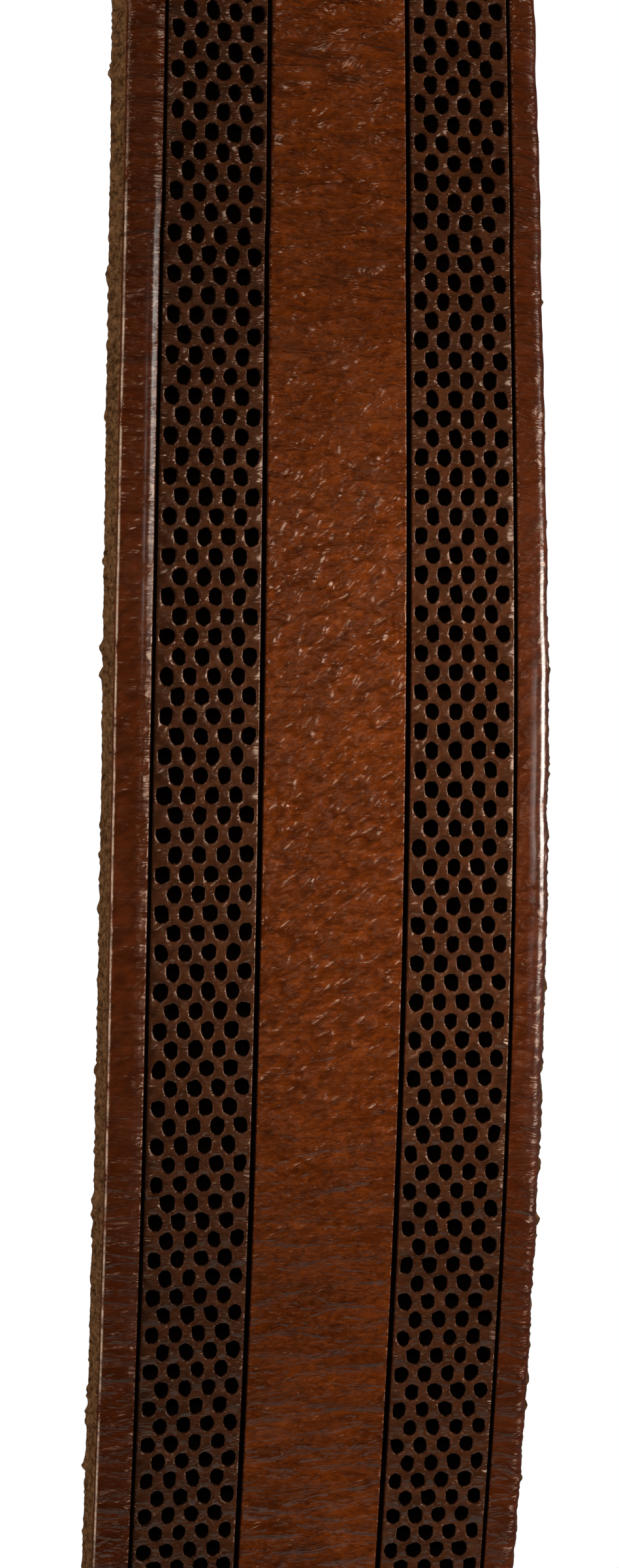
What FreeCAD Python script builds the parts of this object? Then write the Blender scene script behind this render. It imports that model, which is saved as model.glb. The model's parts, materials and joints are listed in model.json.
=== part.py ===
import FreeCAD, Part
import math
import os
import Sketcher
from FreeCAD import Placement, Rotation, Vector

# A leather guitar strap, hanging from the button hole of its rear ear.
# X runs across the strap, the grain face looks along -Y, +Z is up. Millimetres.
# The origin is the centre of the rear button hole, half way through the ear.

doc = FreeCAD.newDocument("guitar_strap")

# --- driving dimensions -------------------------------------------------------------------------

SIZES = [
    ("band_width", 50.8), ("band_thickness", 3.8), ("band_corner", 12.0),
    ("band_top", -34.0), ("rear_hinge_height", -180.0), ("front_hinge_height", -630.0),
    ("taper_top", -704.0), ("taper_bottom", -744.0), ("band_bottom", -768.0), ("tongue_width", 26.0),
    ("flex_gap", 0.95), ("forward_lean", 6.75), ("twist_angle", 15.5),
    ("ear_width", 36.0), ("ear_thickness", 3.0), ("ear_length", 78.0),
    ("button_hole", 8.0), ("slit_width", 1.2), ("slit_length", 13.0),
    ("chape_width", 22.0), ("chape_thickness", 2.2), ("chape_length", 47.0), ("chape_corner", 7.0),
    ("ring_wire", 3.2), ("ring_inner_width", 24.0), ("ring_pitch", 14.0), ("ring_corner", 3.0),
    ("ring_height", -782.0), ("fold_clearance", 0.3),
    ("tail_width", 22.0), ("tail_thickness", 2.4), ("leaf_gap", 0.3), ("back_leaf_length", 104.0),
    ("tail_hole_height", -960.0), ("tail_ear_width", 34.0), 
    ("tail_ear_rise", 17.0), ("patch_thickness", 2.0), ("patch_width", 30.0),
    ("patch_rise", 11.0),
    ("adjust_hole", 5.0), ("adjust_pitch", 25.0), ("adjust_first_height", -830.0),
    ("rivet_cap", 9.0), ("rivet_dome", 1.6), ("rivet_shank", 3.2), ("rivet_hole", 3.4),
    ("screw_head", 9.5), ("screw_head_thickness", 1.3), ("screw_barrel", 4.8), ("screw_shank", 2.9),
    ("screw_slot", 1.1),
    ("keeper_height", 12.0), ("keeper_thickness", 1.6), ("keeper_clearance", 0.35),
    ("keeper_centre", -880.0),
    ("staple_wire", 1.0), ("staple_span", 9.0),
    ("thread", 0.8), ("stitch_pitch", 4.0), ("stitch_length", 3.2),
]

sizes = doc.addObject("Spreadsheet::Sheet", "sizes")
for row, (alias, value) in enumerate(SIZES, start=1):
    sizes.set(f"A{row}", alias)
    sizes.set(f"B{row}", str(value))
    sizes.setAlias(f"B{row}", alias)
doc.recompute()


def dim(alias):
    """The number that the sheet holds for one driving dimension."""
    return float(getattr(sizes, alias))


# Depth of the band's mid plane: the ear lies flat against the band's flesh side.
band_depth = -(dim("ear_thickness") + dim("band_thickness")) / 2

nodes = []


def keep(item, label):
    """Give one finished piece its own name and remember it."""
    item.Label = label
    nodes.append(item)
    return item


# --- helpers for bodies made from sketches --------------------------------------------------------


def new_body(label, position):
    body = doc.addObject("PartDesign::Body", label + "_body")
    body.Placement = Placement(position, Rotation())
    return keep(body, label)


def sketch_on(body, name, role, offset=0.0):
    """A sketch on one of the body's own origin planes, moved along the plane's normal."""
    sketch = body.newObject("Sketcher::SketchObject", name)
    plane = [item for item in body.Origin.OriginFeatures if item.Role == role][0]
    sketch.AttachmentSupport = (plane, [""])
    sketch.MapMode = "FlatFace"
    sketch.AttachmentOffset = Placement(Vector(0, 0, offset), Rotation())
    return sketch


def add_outline(sketch, points):
    """A closed outline of straight lines, each corner held at its distance from the origin."""
    count = len(points)
    first = len(sketch.Geometry)
    for index in range(count):
        start = Vector(*points[index], 0)
        end = Vector(*points[(index + 1) % count], 0)
        sketch.addGeometry(Part.LineSegment(start, end), False)
    for index in range(count):
        after = first + (index + 1) % count
        sketch.addConstraint(Sketcher.Constraint("Coincident", first + index, 2, after, 1))
    for index, (across, along) in enumerate(points):
        sketch.addConstraint(Sketcher.Constraint("DistanceX", -1, 1, first + index, 1, across))
        sketch.addConstraint(Sketcher.Constraint("DistanceY", -1, 1, first + index, 1, along))


def add_slot(sketch, radius, length, radius_size, length_size):
    """A slot with round ends: top centre on the sketch origin, bottom centre straight below it."""
    top, bottom = Vector(0, 0, 0), Vector(0, -length, 0)
    up = Vector(0, 0, 1)
    upper = Part.ArcOfCircle(Part.Circle(top, up, radius), 0, math.pi)
    lower = Part.ArcOfCircle(Part.Circle(bottom, up, radius), math.pi, 2 * math.pi)
    sketch.addGeometry([upper, lower], False)
    left = Part.LineSegment(Vector(-radius, 0, 0), Vector(-radius, -length, 0))
    right = Part.LineSegment(Vector(radius, -length, 0), Vector(radius, 0, 0))
    sketch.addGeometry([left, right], False)
    for arc, arc_end, line, line_end in ((0, 2, 2, 1), (2, 2, 1, 1), (1, 2, 3, 1), (3, 2, 0, 1)):
        sketch.addConstraint(Sketcher.Constraint("Tangent", arc, arc_end, line, line_end))
    sketch.addConstraint(Sketcher.Constraint("Coincident", 0, 3, -1, 1))
    sketch.addConstraint(Sketcher.Constraint("PointOnObject", 1, 3, -2))
    radius_row = sketch.addConstraint(Sketcher.Constraint("Radius", 0, radius))
    length_row = sketch.addConstraint(Sketcher.Constraint("DistanceY", 1, 3, 0, 3, length))
    sketch.setExpression(f"Constraints[{radius_row}]", radius_size)
    sketch.setExpression(f"Constraints[{length_row}]", length_size)


def add_circles(sketch, centres, diameter_size):
    """Round holes of one size, bound to the sheet."""
    radius = dim(diameter_size) / 2
    for across, along in centres:
        index = sketch.addGeometry(Part.Circle(Vector(across, along, 0), Vector(0, 0, 1), radius), False)
        row = sketch.addConstraint(Sketcher.Constraint("Radius", index, radius))
        sketch.setExpression(f"Constraints[{row}]", f"sizes.{diameter_size} / 2")
        sketch.addConstraint(Sketcher.Constraint("DistanceX", -1, 1, index, 3, across))
        sketch.addConstraint(Sketcher.Constraint("DistanceY", -1, 1, index, 3, along))


def pad(body, sketch, length_expression, midplane=True):
    feature = body.newObject("PartDesign::Pad", sketch.Name + "_pad")
    feature.Profile = sketch
    feature.Midplane = midplane
    feature.setExpression("Length", length_expression)
    sketch.Visibility = False
    doc.recompute()
    return feature


def cut_through(body, sketch):
    """A pocket through everything, both ways; it must take material away."""
    before = body.Shape.Volume
    feature = body.newObject("PartDesign::Pocket", sketch.Name + "_pocket")
    feature.Profile = sketch
    feature.Type = "ThroughAll"
    feature.Midplane = True
    doc.recompute()
    if body.Shape.Volume > before - 1.0:
        raise RuntimeError(f"{sketch.Name} cut nothing")
    return feature


def round_edges(body, base, radius_expression, wanted):
    """Fillet the edges of a feature that the test picks out."""
    names = [f"Edge{n}" for n, edge in enumerate(base.Shape.Edges, start=1) if wanted(edge)]
    feature = body.newObject("PartDesign::Fillet", base.Name + "_round")
    feature.Base = (base, names)
    feature.setExpression("Radius", radius_expression)
    doc.recompute()
    return feature


def runs_through(edge):
    """True for a straight edge that runs through the leather, along Y."""
    ends = [vertex.Point for vertex in edge.Vertexes]
    if len(ends) != 2:
        return False
    step = ends[1] - ends[0]
    return abs(step.x) < 1e-6 and abs(step.z) < 1e-6


# --- the path of the shoulder band ------------------------------------------------------------------
# The leather has taken a set: it leans forward, bows back over its lower half, and twists a little
# above the middle. Both ends hang straight, on one plumb line. Distances are from the middle.

LEAN_START, LEAN_END = -190.0, -90.0
BOW_START, BOW_END, BOW_FADE = -60.0, 140.0, 200.0
TWIST_START, TWIST_PEAK, TWIST_END = -250.0, -130.0, 25.0
# The backward lean that brings the lower end under the upper one again.
BACK_TO_FORWARD = ((LEAN_END - LEAN_START) / 2 + (BOW_START - LEAN_END) + (BOW_END - BOW_START) / 2) / (
    (BOW_END - BOW_START) / 2 + (BOW_FADE - BOW_END) / 2
)


def ease(value):
    value = min(max(value, 0.0), 1.0)
    return value * value * (3 - 2 * value)


def lean_at(along):
    """Angle from vertical, in radians; positive swings the lower side back."""
    forward = math.radians(dim("forward_lean"))
    backward = forward * BACK_TO_FORWARD
    if along < LEAN_END:
        return -forward * ease((along - LEAN_START) / (LEAN_END - LEAN_START))
    if along < BOW_END:
        bowed = ease((along - BOW_START) / (BOW_END - BOW_START))
        return -forward + (forward + backward) * bowed
    return backward * (1 - ease((along - BOW_END) / (BOW_FADE - BOW_END)))


def twist_at(along):
    """Turn about the strap's own length, in radians; positive brings the left edge forward."""
    peak = math.radians(dim("twist_angle"))
    if along < TWIST_PEAK:
        return peak * ease((along - TWIST_START) / (TWIST_PEAK - TWIST_START))
    return peak * ease((TWIST_END - along) / (TWIST_END - TWIST_PEAK))


def path_stations(start, end, spacing):
    """Placements along the path, each with X across the band and Z along it."""
    count = round((end - start) / spacing)
    small = 1.0
    depth, height, along = band_depth, dim("rear_hinge_height"), LEAN_START - 60.0
    stations = []
    wanted = [start + (end - start) * index / count for index in range(count + 1)]
    while wanted:
        step = min(small, wanted[0] - along)
        middle = along + step / 2
        depth += math.sin(lean_at(middle)) * step
        height -= math.cos(lean_at(middle)) * step
        along += step
        if along >= wanted[0] - 1e-9:
            tilt = Rotation(Vector(1, 0, 0), math.degrees(lean_at(along)))
            turn = Rotation(Vector(0, 0, 1), math.degrees(twist_at(along)))
            stations.append(Placement(Vector(0, depth, height), tilt * turn))
            wanted.pop(0)
    return stations


# --- rear ear: leather tab with the button hole -------------------------------------------------------

REAR_RIVETS = [(-9.0, -52.0), (9.0, -52.0)]

ear = new_body("rear_ear", Vector(0, 0, 0))
ear_outline = sketch_on(ear, "ear_outline", "XZ_Plane")
add_slot(ear_outline, dim("ear_width") / 2, dim("ear_length"), "sizes.ear_width / 2", "sizes.ear_length")
pad(ear, ear_outline, "sizes.ear_thickness")
ear_holes = sketch_on(ear, "ear_holes", "XZ_Plane")
add_circles(ear_holes, [(0.0, 0.0)], "button_hole")
cut_through(ear, ear_holes)
ear_slit = sketch_on(ear, "ear_slit", "XZ_Plane")
half_slit = dim("slit_width") / 2
add_outline(ear_slit, [(-half_slit, -1.0), (half_slit, -1.0),
                       (half_slit, -dim("slit_length")), (-half_slit, -dim("slit_length"))])
cut_through(ear, ear_slit)
ear_rivet_holes = sketch_on(ear, "ear_rivet_holes", "XZ_Plane")
add_circles(ear_rivet_holes, REAR_RIVETS, "rivet_hole")
cut_through(ear, ear_rivet_holes)

# --- shoulder band: one strip of leather, parted where it bends most -----------------------------------

half_width = dim("band_width") / 2

rear = new_body("band_rear", Vector(0, band_depth, 0))
rear_outline = sketch_on(rear, "rear_outline", "XZ_Plane")
rear_end = dim("rear_hinge_height") + dim("flex_gap")
add_outline(rear_outline, [(-half_width, dim("band_top")), (half_width, dim("band_top")),
                           (half_width, rear_end), (-half_width, rear_end)])
rear_pad = pad(rear, rear_outline, "sizes.band_thickness")


def top_corner(edge):
    return runs_through(edge) and edge.Vertexes[0].Point.z > dim("band_top") - 0.01


round_edges(rear, rear_pad, "sizes.band_corner", top_corner)
rear_rivet_holes = sketch_on(rear, "rear_rivet_holes", "XZ_Plane")
add_circles(rear_rivet_holes, REAR_RIVETS, "rivet_hole")
cut_through(rear, rear_rivet_holes)

middle = new_body("band_middle", Vector(0, 0, 0))
stations = path_stations(TWIST_START + dim("flex_gap"), BOW_FADE - dim("flex_gap"), 30.0)
path_end = path_stations(TWIST_START, BOW_FADE, 30.0)[-1].Base
sections = []
half_thick = dim("band_thickness") / 2
for number, station in enumerate(stations):
    section = sketch_on(middle, f"section_{number}", "XY_Plane")
    section.AttachmentOffset = station
    add_outline(section, [(-half_width, -half_thick), (half_width, -half_thick),
                          (half_width, half_thick), (-half_width, half_thick)])
    sections.append(section)
doc.recompute()
loft = middle.newObject("PartDesign::AdditiveLoft", "middle_loft")
loft.Profile = sections[0]
loft.Sections = sections[1:]
loft.Ruled = False
doc.recompute()

front_depth = path_end.y
front = new_body("band_front", Vector(0, front_depth, 0))
front_outline = sketch_on(front, "front_outline", "XZ_Plane")
half_tongue = dim("tongue_width") / 2
front_start = path_end.z - dim("flex_gap")
add_outline(front_outline, [
    (-half_width, front_start), (half_width, front_start),
    (half_width, dim("taper_top")), (half_tongue, dim("taper_bottom")),
    (half_tongue, dim("band_bottom")), (-half_tongue, dim("band_bottom")),
    (-half_tongue, dim("taper_bottom")), (-half_width, dim("taper_top"))])
pad(front, front_outline, "sizes.band_thickness")
CHAPE_RIVETS = [(0.0, -744.0), (0.0, -760.0)]
front_rivet_holes = sketch_on(front, "front_rivet_holes", "XZ_Plane")
add_circles(front_rivet_holes, CHAPE_RIVETS, "rivet_hole")
cut_through(front, front_rivet_holes)

# --- chape: leather folded round the ring and over both faces of the tongue ----------------------------

fold_radius = dim("ring_wire") / 2 + dim("fold_clearance")


def folded_profile(sketch, inner, thickness, front_length, back_length, upward):
    """Side view of a strip folded round a bar at the sketch origin, with parallel leaves."""
    outer = inner + thickness
    sign = 1 if upward else -1
    up = Vector(0, 0, 1)
    bar = Vector(0, 0, 0)
    first, last = (math.pi, 2 * math.pi) if upward else (0, math.pi)
    arcs = [Part.ArcOfCircle(Part.Circle(bar, up, radius), first, last) for radius in (inner, outer)]
    lines = []
    for side, length in ((-1, front_length), (1, back_length)):
        for radius in (inner, outer):
            lines.append(Part.LineSegment(Vector(side * radius, 0, 0),
                                          Vector(side * radius, sign * length, 0)))
        lines.append(Part.LineSegment(Vector(side * inner, sign * length, 0),
                                      Vector(side * outer, sign * length, 0)))
    sketch.addGeometry(arcs + lines, False)
    for a, a_end, b, b_end in ((2, 2, 4, 1), (3, 2, 4, 2), (5, 2, 7, 1), (6, 2, 7, 2)):
        sketch.addConstraint(Sketcher.Constraint("Coincident", a, a_end, b, b_end))
    left_end, right_end = (1, 2) if upward else (2, 1)
    for arc, left_line, right_line in ((0, 2, 5), (1, 3, 6)):
        sketch.addConstraint(Sketcher.Constraint("Coincident", arc, left_end, left_line, 1))
        sketch.addConstraint(Sketcher.Constraint("Coincident", arc, right_end, right_line, 1))


chape = new_body("front_chape", Vector(0, front_depth, dim("ring_height")))
chape_profile = sketch_on(chape, "chape_profile", "YZ_Plane")
folded_profile(chape_profile, fold_radius, dim("chape_thickness"),
               dim("chape_length"), dim("chape_length"), True)
chape_pad = pad(chape, chape_profile, "sizes.chape_width")


def leaf_corner(edge):
    return runs_through(edge) and edge.Vertexes[0].Point.z > dim("chape_length") - 0.01


round_edges(chape, chape_pad, "sizes.chape_corner", leaf_corner)
chape_rivet_holes = sketch_on(chape, "chape_rivet_holes", "XZ_Plane")
add_circles(chape_rivet_holes, [(x, z - dim("ring_height")) for x, z in CHAPE_RIVETS], "rivet_hole")
cut_through(chape, chape_rivet_holes)

# --- rectangular loop ring of bent wire -----------------------------------------------------------------


def ring_piece(kind, name, position, rotation, expressions):
    piece = doc.addObject(kind, name)
    for prop, expression in expressions.items():
        piece.setExpression(prop, expression)
    piece.Placement = Placement(position, rotation)
    return piece


ring_pieces = []
bar_half = dim("ring_inner_width") / 2 + dim("ring_wire") / 2
corner = dim("ring_corner")
low, high = -dim("ring_pitch"), 0.0
for label, height in (("upper", high), ("lower", low)):
    ring_pieces.append(ring_piece(
        "Part::Cylinder", f"ring_{label}_bar", Vector(-bar_half + corner, 0, height),
        Rotation(Vector(0, 1, 0), 90),
        {"Radius": "sizes.ring_wire / 2",
         "Height": "sizes.ring_inner_width + sizes.ring_wire - 2 * sizes.ring_corner"}))
for label, side in (("left", -1), ("right", 1)):
    ring_pieces.append(ring_piece(
        "Part::Cylinder", f"ring_{label}_bar", Vector(side * bar_half, 0, low + corner), Rotation(),
        {"Radius": "sizes.ring_wire / 2", "Height": "sizes.ring_pitch - 2 * sizes.ring_corner"}))
for side, height, turn in ((1, high, 0), (-1, high, 90), (-1, low, 180), (1, low, 270)):
    inward = corner if height == low else -corner
    bend = ring_piece(
        "Part::Torus", f"ring_bend_{turn}", Vector(side * (bar_half - corner), 0, height + inward),
        Rotation(Vector(1, 0, 0), 90) * Rotation(Vector(0, 0, 1), turn),
        {"Radius1": "sizes.ring_corner", "Radius2": "sizes.ring_wire / 2"})
    bend.Angle3 = 90
    ring_pieces.append(bend)
ring = doc.addObject("Part::MultiFuse", "loop_ring_wire")
ring.Shapes = ring_pieces
ring.Placement = Placement(Vector(0, front_depth, dim("ring_height")), Rotation())
keep(ring, "loop_ring")

# --- tail: one strip folded round the lower bar, with adjusting holes and the front ear ------------------

tail_bar = dim("ring_height") - dim("ring_pitch")
leaf_inner = dim("leaf_gap") / 2
leaf_outer = leaf_inner + dim("tail_thickness")
# How far from the bar the two folded leaves come together.
neck = 9.0


def tail_profile(sketch, inner, thickness, front_length, back_length):
    """Side view of the fold: a round nose that closes onto two leaves lying together."""
    outer = inner + thickness
    up = Vector(0, 0, 1)
    bar = Vector(0, 0, 0)
    parts = []
    for radius, leaf in ((inner, leaf_inner), (outer, leaf_outer)):
        # The slanting side leaves the arc where it is tangent to it and meets the leaf at the neck.
        reach = math.hypot(leaf, neck)
        spread = math.atan2(-neck, leaf) + math.acos(radius / reach)
        touch = Vector(radius * math.cos(spread), radius * math.sin(spread), 0)
        arc = Part.ArcOfCircle(Part.Circle(bar, up, radius), spread, math.pi - spread)
        parts.append(arc)
        for side, length in ((1, back_length), (-1, front_length)):
            on_arc = Vector(side * touch.x, touch.y, 0)
            at_neck = Vector(side * leaf, -neck, 0)
            at_end = Vector(side * leaf, -length, 0)
            parts.append(Part.LineSegment(on_arc, at_neck))
            parts.append(Part.LineSegment(at_neck, at_end))
    for side, length in ((1, back_length), (-1, front_length)):
        parts.append(Part.LineSegment(Vector(side * leaf_inner, -length, 0),
                                      Vector(side * leaf_outer, -length, 0)))
    sketch.addGeometry(parts, False)
    for arc in (0, 5):
        for end, slant in ((1, arc + 1), (2, arc + 3)):
            sketch.addConstraint(Sketcher.Constraint("Coincident", arc, end, slant, 1))
            sketch.addConstraint(Sketcher.Constraint("Coincident", slant, 2, slant + 1, 1))
    for end_line, inner_leaf, outer_leaf in ((10, 2, 7), (11, 4, 9)):
        sketch.addConstraint(Sketcher.Constraint("Coincident", inner_leaf, 2, end_line, 1))
        sketch.addConstraint(Sketcher.Constraint("Coincident", outer_leaf, 2, end_line, 2))


tail = new_body("tail_strap", Vector(0, front_depth, tail_bar))
tail_side = sketch_on(tail, "tail_side", "YZ_Plane")
hole_drop = dim("tail_hole_height") - tail_bar
tail_profile(tail_side, fold_radius, dim("tail_thickness"), -hole_drop, dim("back_leaf_length"))
pad(tail, tail_side, "sizes.tail_width")
tail_ear = sketch_on(tail, "tail_ear", "XZ_Plane", leaf_inner)
tail_ear.AttachmentOffset = Placement(Vector(0, hole_drop + dim("tail_ear_rise"), leaf_inner), Rotation())
add_slot(tail_ear, dim("tail_ear_width") / 2, dim("tail_ear_rise"),
         "sizes.tail_ear_width / 2", "sizes.tail_ear_rise")
pad(tail, tail_ear, "sizes.tail_thickness", midplane=False)
ADJUST_ROWS = [dim("adjust_first_height") - dim("adjust_pitch") * step for step in range(5)]
tail_holes = sketch_on(tail, "tail_holes", "XZ_Plane")
add_circles(tail_holes, [(0.0, row - tail_bar) for row in ADJUST_ROWS], "adjust_hole")
cut_through(tail, tail_holes)
tail_button = sketch_on(tail, "tail_button", "XZ_Plane")
add_circles(tail_button, [(0.0, hole_drop)], "button_hole")
cut_through(tail, tail_button)
tail_slit = sketch_on(tail, "tail_slit", "XZ_Plane")
add_outline(tail_slit, [(-half_slit, hole_drop + 1), (half_slit, hole_drop + 1),
                        (half_slit, hole_drop + dim("slit_length")),
                        (-half_slit, hole_drop + dim("slit_length"))])
cut_through(tail, tail_slit)

front_leaf_depth = front_depth - leaf_inner - dim("tail_thickness") / 2
patch_depth = front_depth - leaf_inner + dim("patch_thickness") / 2
patch = new_body("tail_ear_patch", Vector(0, patch_depth, dim("tail_hole_height")))
patch_outline = sketch_on(patch, "patch_outline", "XZ_Plane")
patch_outline.AttachmentOffset = Placement(Vector(0, dim("patch_rise"), 0), Rotation())
add_slot(patch_outline, dim("patch_width") / 2, dim("patch_rise"),
         "sizes.patch_width / 2", "sizes.patch_rise")
pad(patch, patch_outline, "sizes.patch_thickness")
patch_hole = sketch_on(patch, "patch_hole", "XZ_Plane")
add_circles(patch_hole, [(0.0, 0.0)], "button_hole")
cut_through(patch, patch_hole)
patch_slit = sketch_on(patch, "patch_slit", "XZ_Plane")
add_outline(patch_slit, [(-half_slit, 1.0), (half_slit, 1.0),
                         (half_slit, dim("slit_length")), (-half_slit, dim("slit_length"))])
cut_through(patch, patch_slit)

# --- rivets and screws ------------------------------------------------------------------------------------


def dome(radius, height, base_depth, outward):
    """A shallow dome on a flat base, its axis along Y."""
    sphere = (radius * radius + height * height) / (2 * height)
    centre = Vector(0, base_depth + outward * (height - sphere), 0)
    ball = Part.makeSphere(sphere, centre)
    start = Vector(0, base_depth if outward > 0 else base_depth - height, 0)
    slab = Part.makeCylinder(radius, height, start, Vector(0, 1, 0))
    return ball.common(slab)


def group(label, solids, places):
    """Identical pieces as one named group of separate solids."""
    copies = []
    for place in places:
        for solid in solids:
            copy = solid.copy()
            copy.translate(place)
            copies.append(copy)
    feature = doc.addObject("Part::Feature", label)
    feature.Shape = Part.makeCompound(copies)
    feature.Placement = Placement()
    return keep(feature, label)


along_y = Vector(0, 1, 0)


def rivet_pair(prefix, places, front_face, back_face):
    """Tubular posts with their domes behind, and caps whose pins close them from the front."""
    grip = back_face - front_face
    radius = dim("rivet_cap") / 2
    shank = dim("rivet_shank") / 2
    bore = shank - 0.6
    tube = Part.makeCylinder(shank, grip, Vector(0, front_face, 0), along_y)
    post = tube.fuse(dome(radius, dim("rivet_dome"), back_face, 1)).removeSplitter()
    post = post.cut(Part.makeCylinder(bore, grip, Vector(0, front_face, 0), along_y))
    pin = Part.makeCylinder(bore - 0.05, grip - 1.0, Vector(0, front_face, 0), along_y)
    cap = pin.fuse(dome(radius, dim("rivet_dome"), front_face, -1)).removeSplitter()
    group(prefix + "_rivet_posts", [post], places)
    group(prefix + "_rivet_caps", [cap], places)


band_front_face = band_depth - dim("band_thickness") / 2
rivet_pair("rear", [Vector(x, 0, z) for x, z in REAR_RIVETS], band_front_face, dim("ear_thickness") / 2)
chape_reach = fold_radius + dim("chape_thickness")
rivet_pair("chape", [Vector(x, 0, z) for x, z in CHAPE_RIVETS],
           front_depth - chape_reach, front_depth + chape_reach)

screw_places = [Vector(0, 0, row) for row in ADJUST_ROWS[:2]]
leaf_front, leaf_back = front_depth - leaf_outer, front_depth + leaf_outer
head_radius, head_height = dim("screw_head") / 2, dim("screw_head_thickness")
barrel = Part.makeCylinder(dim("screw_barrel") / 2, leaf_back - leaf_front - 0.2,
                           Vector(0, leaf_front + 0.2, 0), along_y)
screw_post = barrel.fuse(dome(head_radius, head_height, leaf_back, 1)).removeSplitter()
screw_post = screw_post.cut(Part.makeCylinder(dim("screw_shank") / 2 + 0.05, leaf_back - leaf_front,
                                              Vector(0, leaf_front, 0), along_y))
screw_head = Part.makeCylinder(dim("screw_shank") / 2, leaf_back - leaf_front - 0.6,
                               Vector(0, leaf_front, 0), along_y)
screw_head = screw_head.fuse(dome(head_radius, head_height, leaf_front, -1)).removeSplitter()
slot_cut = Part.makeBox(dim("screw_head"), 0.8, dim("screw_slot"),
                        Vector(-head_radius, leaf_front - head_height - 0.1, -dim("screw_slot") / 2))
screw_head = screw_head.cut(slot_cut)
group("tail_screw_posts", [screw_post], screw_places)
group("tail_screw_heads", [screw_head], screw_places)

# --- keeper: a leather band round both leaves, its lapped ends stapled behind -------------------------------

keeper = new_body("tail_keeper", Vector(0, front_depth, dim("keeper_centre")))
keeper_outline = sketch_on(keeper, "keeper_outline", "XY_Plane")
inner_x = dim("tail_width") / 2 + dim("keeper_clearance")
inner_y = leaf_outer + dim("keeper_clearance")
wall = dim("keeper_thickness")
add_outline(keeper_outline, [(-inner_x - wall, -inner_y - wall), (inner_x + wall, -inner_y - wall),
                             (inner_x + wall, inner_y + wall), (-inner_x - wall, inner_y + wall)])
keeper_pad = pad(keeper, keeper_outline, "sizes.keeper_height")


def keeper_corner(edge):
    ends = [vertex.Point for vertex in edge.Vertexes]
    return len(ends) == 2 and abs((ends[1] - ends[0]).z) > 1


round_edges(keeper, keeper_pad, "sizes.keeper_thickness", keeper_corner)
keeper_way = sketch_on(keeper, "keeper_way", "XY_Plane")
add_outline(keeper_way, [(-inner_x, -inner_y), (inner_x, -inner_y), (inner_x, inner_y), (-inner_x, inner_y)])
cut_through(keeper, keeper_way)
staple_y = front_depth + inner_y + wall
wire = dim("staple_wire") / 2
span = dim("staple_span") / 2
for_legs = sketch_on(keeper, "staple_holes", "XZ_Plane")
for side in (-1, 1):
    for_legs.addGeometry(Part.Circle(Vector(side * span, 0, 0), Vector(0, 0, 1), wire + 0.05), False)
leg_holes = keeper.newObject("PartDesign::Pocket", "staple_leg_holes")
leg_holes.Profile = for_legs
leg_holes.Length = inner_y + wall + 1
leg_holes.Reversed = False
doc.recompute()
crown = Part.makeCylinder(wire, 2 * span + 2 * wire, Vector(-span - wire, staple_y + wire, 0), Vector(1, 0, 0))
staple = crown
for side in (-1, 1):
    leg = Part.makeCylinder(wire, wall + wire, Vector(side * span, staple_y - wall, 0), along_y)
    staple = staple.fuse(leg)
group("keeper_staple", [staple], [Vector(0, 0, dim("keeper_centre"))])

# --- stitching: the lengths of waxed thread that lie on each face --------------------------------------------


def stitches_round(label, points, faces):
    """Short lengths of thread along a route, on every face named by its depth."""
    radius = dim("thread") / 2
    length = dim("stitch_length")
    solids = []
    for (x, z), (dx, dz) in points:
        for depth in faces:
            start = Vector(x - dx * length / 2, depth, z - dz * length / 2)
            solids.append(Part.makeCylinder(radius, length, start, Vector(dx, 0, dz)))
    return group(label, solids, [Vector(0, 0, 0)])


def u_route(half, top, centre, pitch):
    """Stitch centres and directions down one side, round a half circle and up the other side."""
    straight = top - centre
    total = 2 * straight + math.pi * half
    count = int(total // pitch)
    route = []
    for index in range(count):
        run = (index + 0.5) * total / count
        if run < straight:
            route.append(((-half, top - run), (0.0, -1.0)))
        elif run > total - straight:
            route.append(((half, top - (total - run)), (0.0, 1.0)))
        else:
            angle = math.pi + (run - straight) / half
            route.append(((half * math.cos(angle), centre + half * math.sin(angle)),
                          (-math.sin(angle), math.cos(angle))))
    return route


EAR_MARGIN, LEAF_MARGIN = 3.5, 2.5
EAR_STITCH_TOP, PATCH_STITCH_TOP = -40.0, 20.0
CHAPE_STITCH_START, CHAPE_STITCHES = -763.0, 6
thread = dim("thread") / 2
stitches_round("rear_ear_stitching", u_route(dim("ear_width") / 2 - EAR_MARGIN, EAR_STITCH_TOP,
                                             -dim("ear_length"), dim("stitch_pitch")),
               [band_front_face - thread, dim("ear_thickness") / 2 + thread])
stitch_line = dim("chape_width") / 2 - LEAF_MARGIN
chape_sides = [((side * stitch_line, CHAPE_STITCH_START + dim("stitch_pitch") * step), (0.0, 1.0))
               for side in (-1, 1) for step in range(CHAPE_STITCHES)]
stitches_round("chape_stitching", chape_sides,
               [front_depth - chape_reach - thread, front_depth + chape_reach + thread])
patch_route = [((x, dim("tail_hole_height") + z), direction)
               for (x, z), direction in u_route(dim("patch_width") / 2 - LEAF_MARGIN, PATCH_STITCH_TOP,
                                                0.0, dim("stitch_pitch"))]
stitches_round("tail_ear_stitching", patch_route,
               [front_depth - leaf_outer - thread, front_depth - leaf_inner + dim("patch_thickness") + thread])

# --- checks and export ------------------------------------------------------------------------------------------

doc.recompute()
for item in doc.Objects:
    if "Invalid" in item.State or "Error" in item.State:
        raise RuntimeError(f"{item.Label} failed: {item.State}")
for item in nodes:
    if item.Shape.isNull() or not item.Shape.isValid():
        raise RuntimeError(f"{item.Label} has no valid shape")

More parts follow.
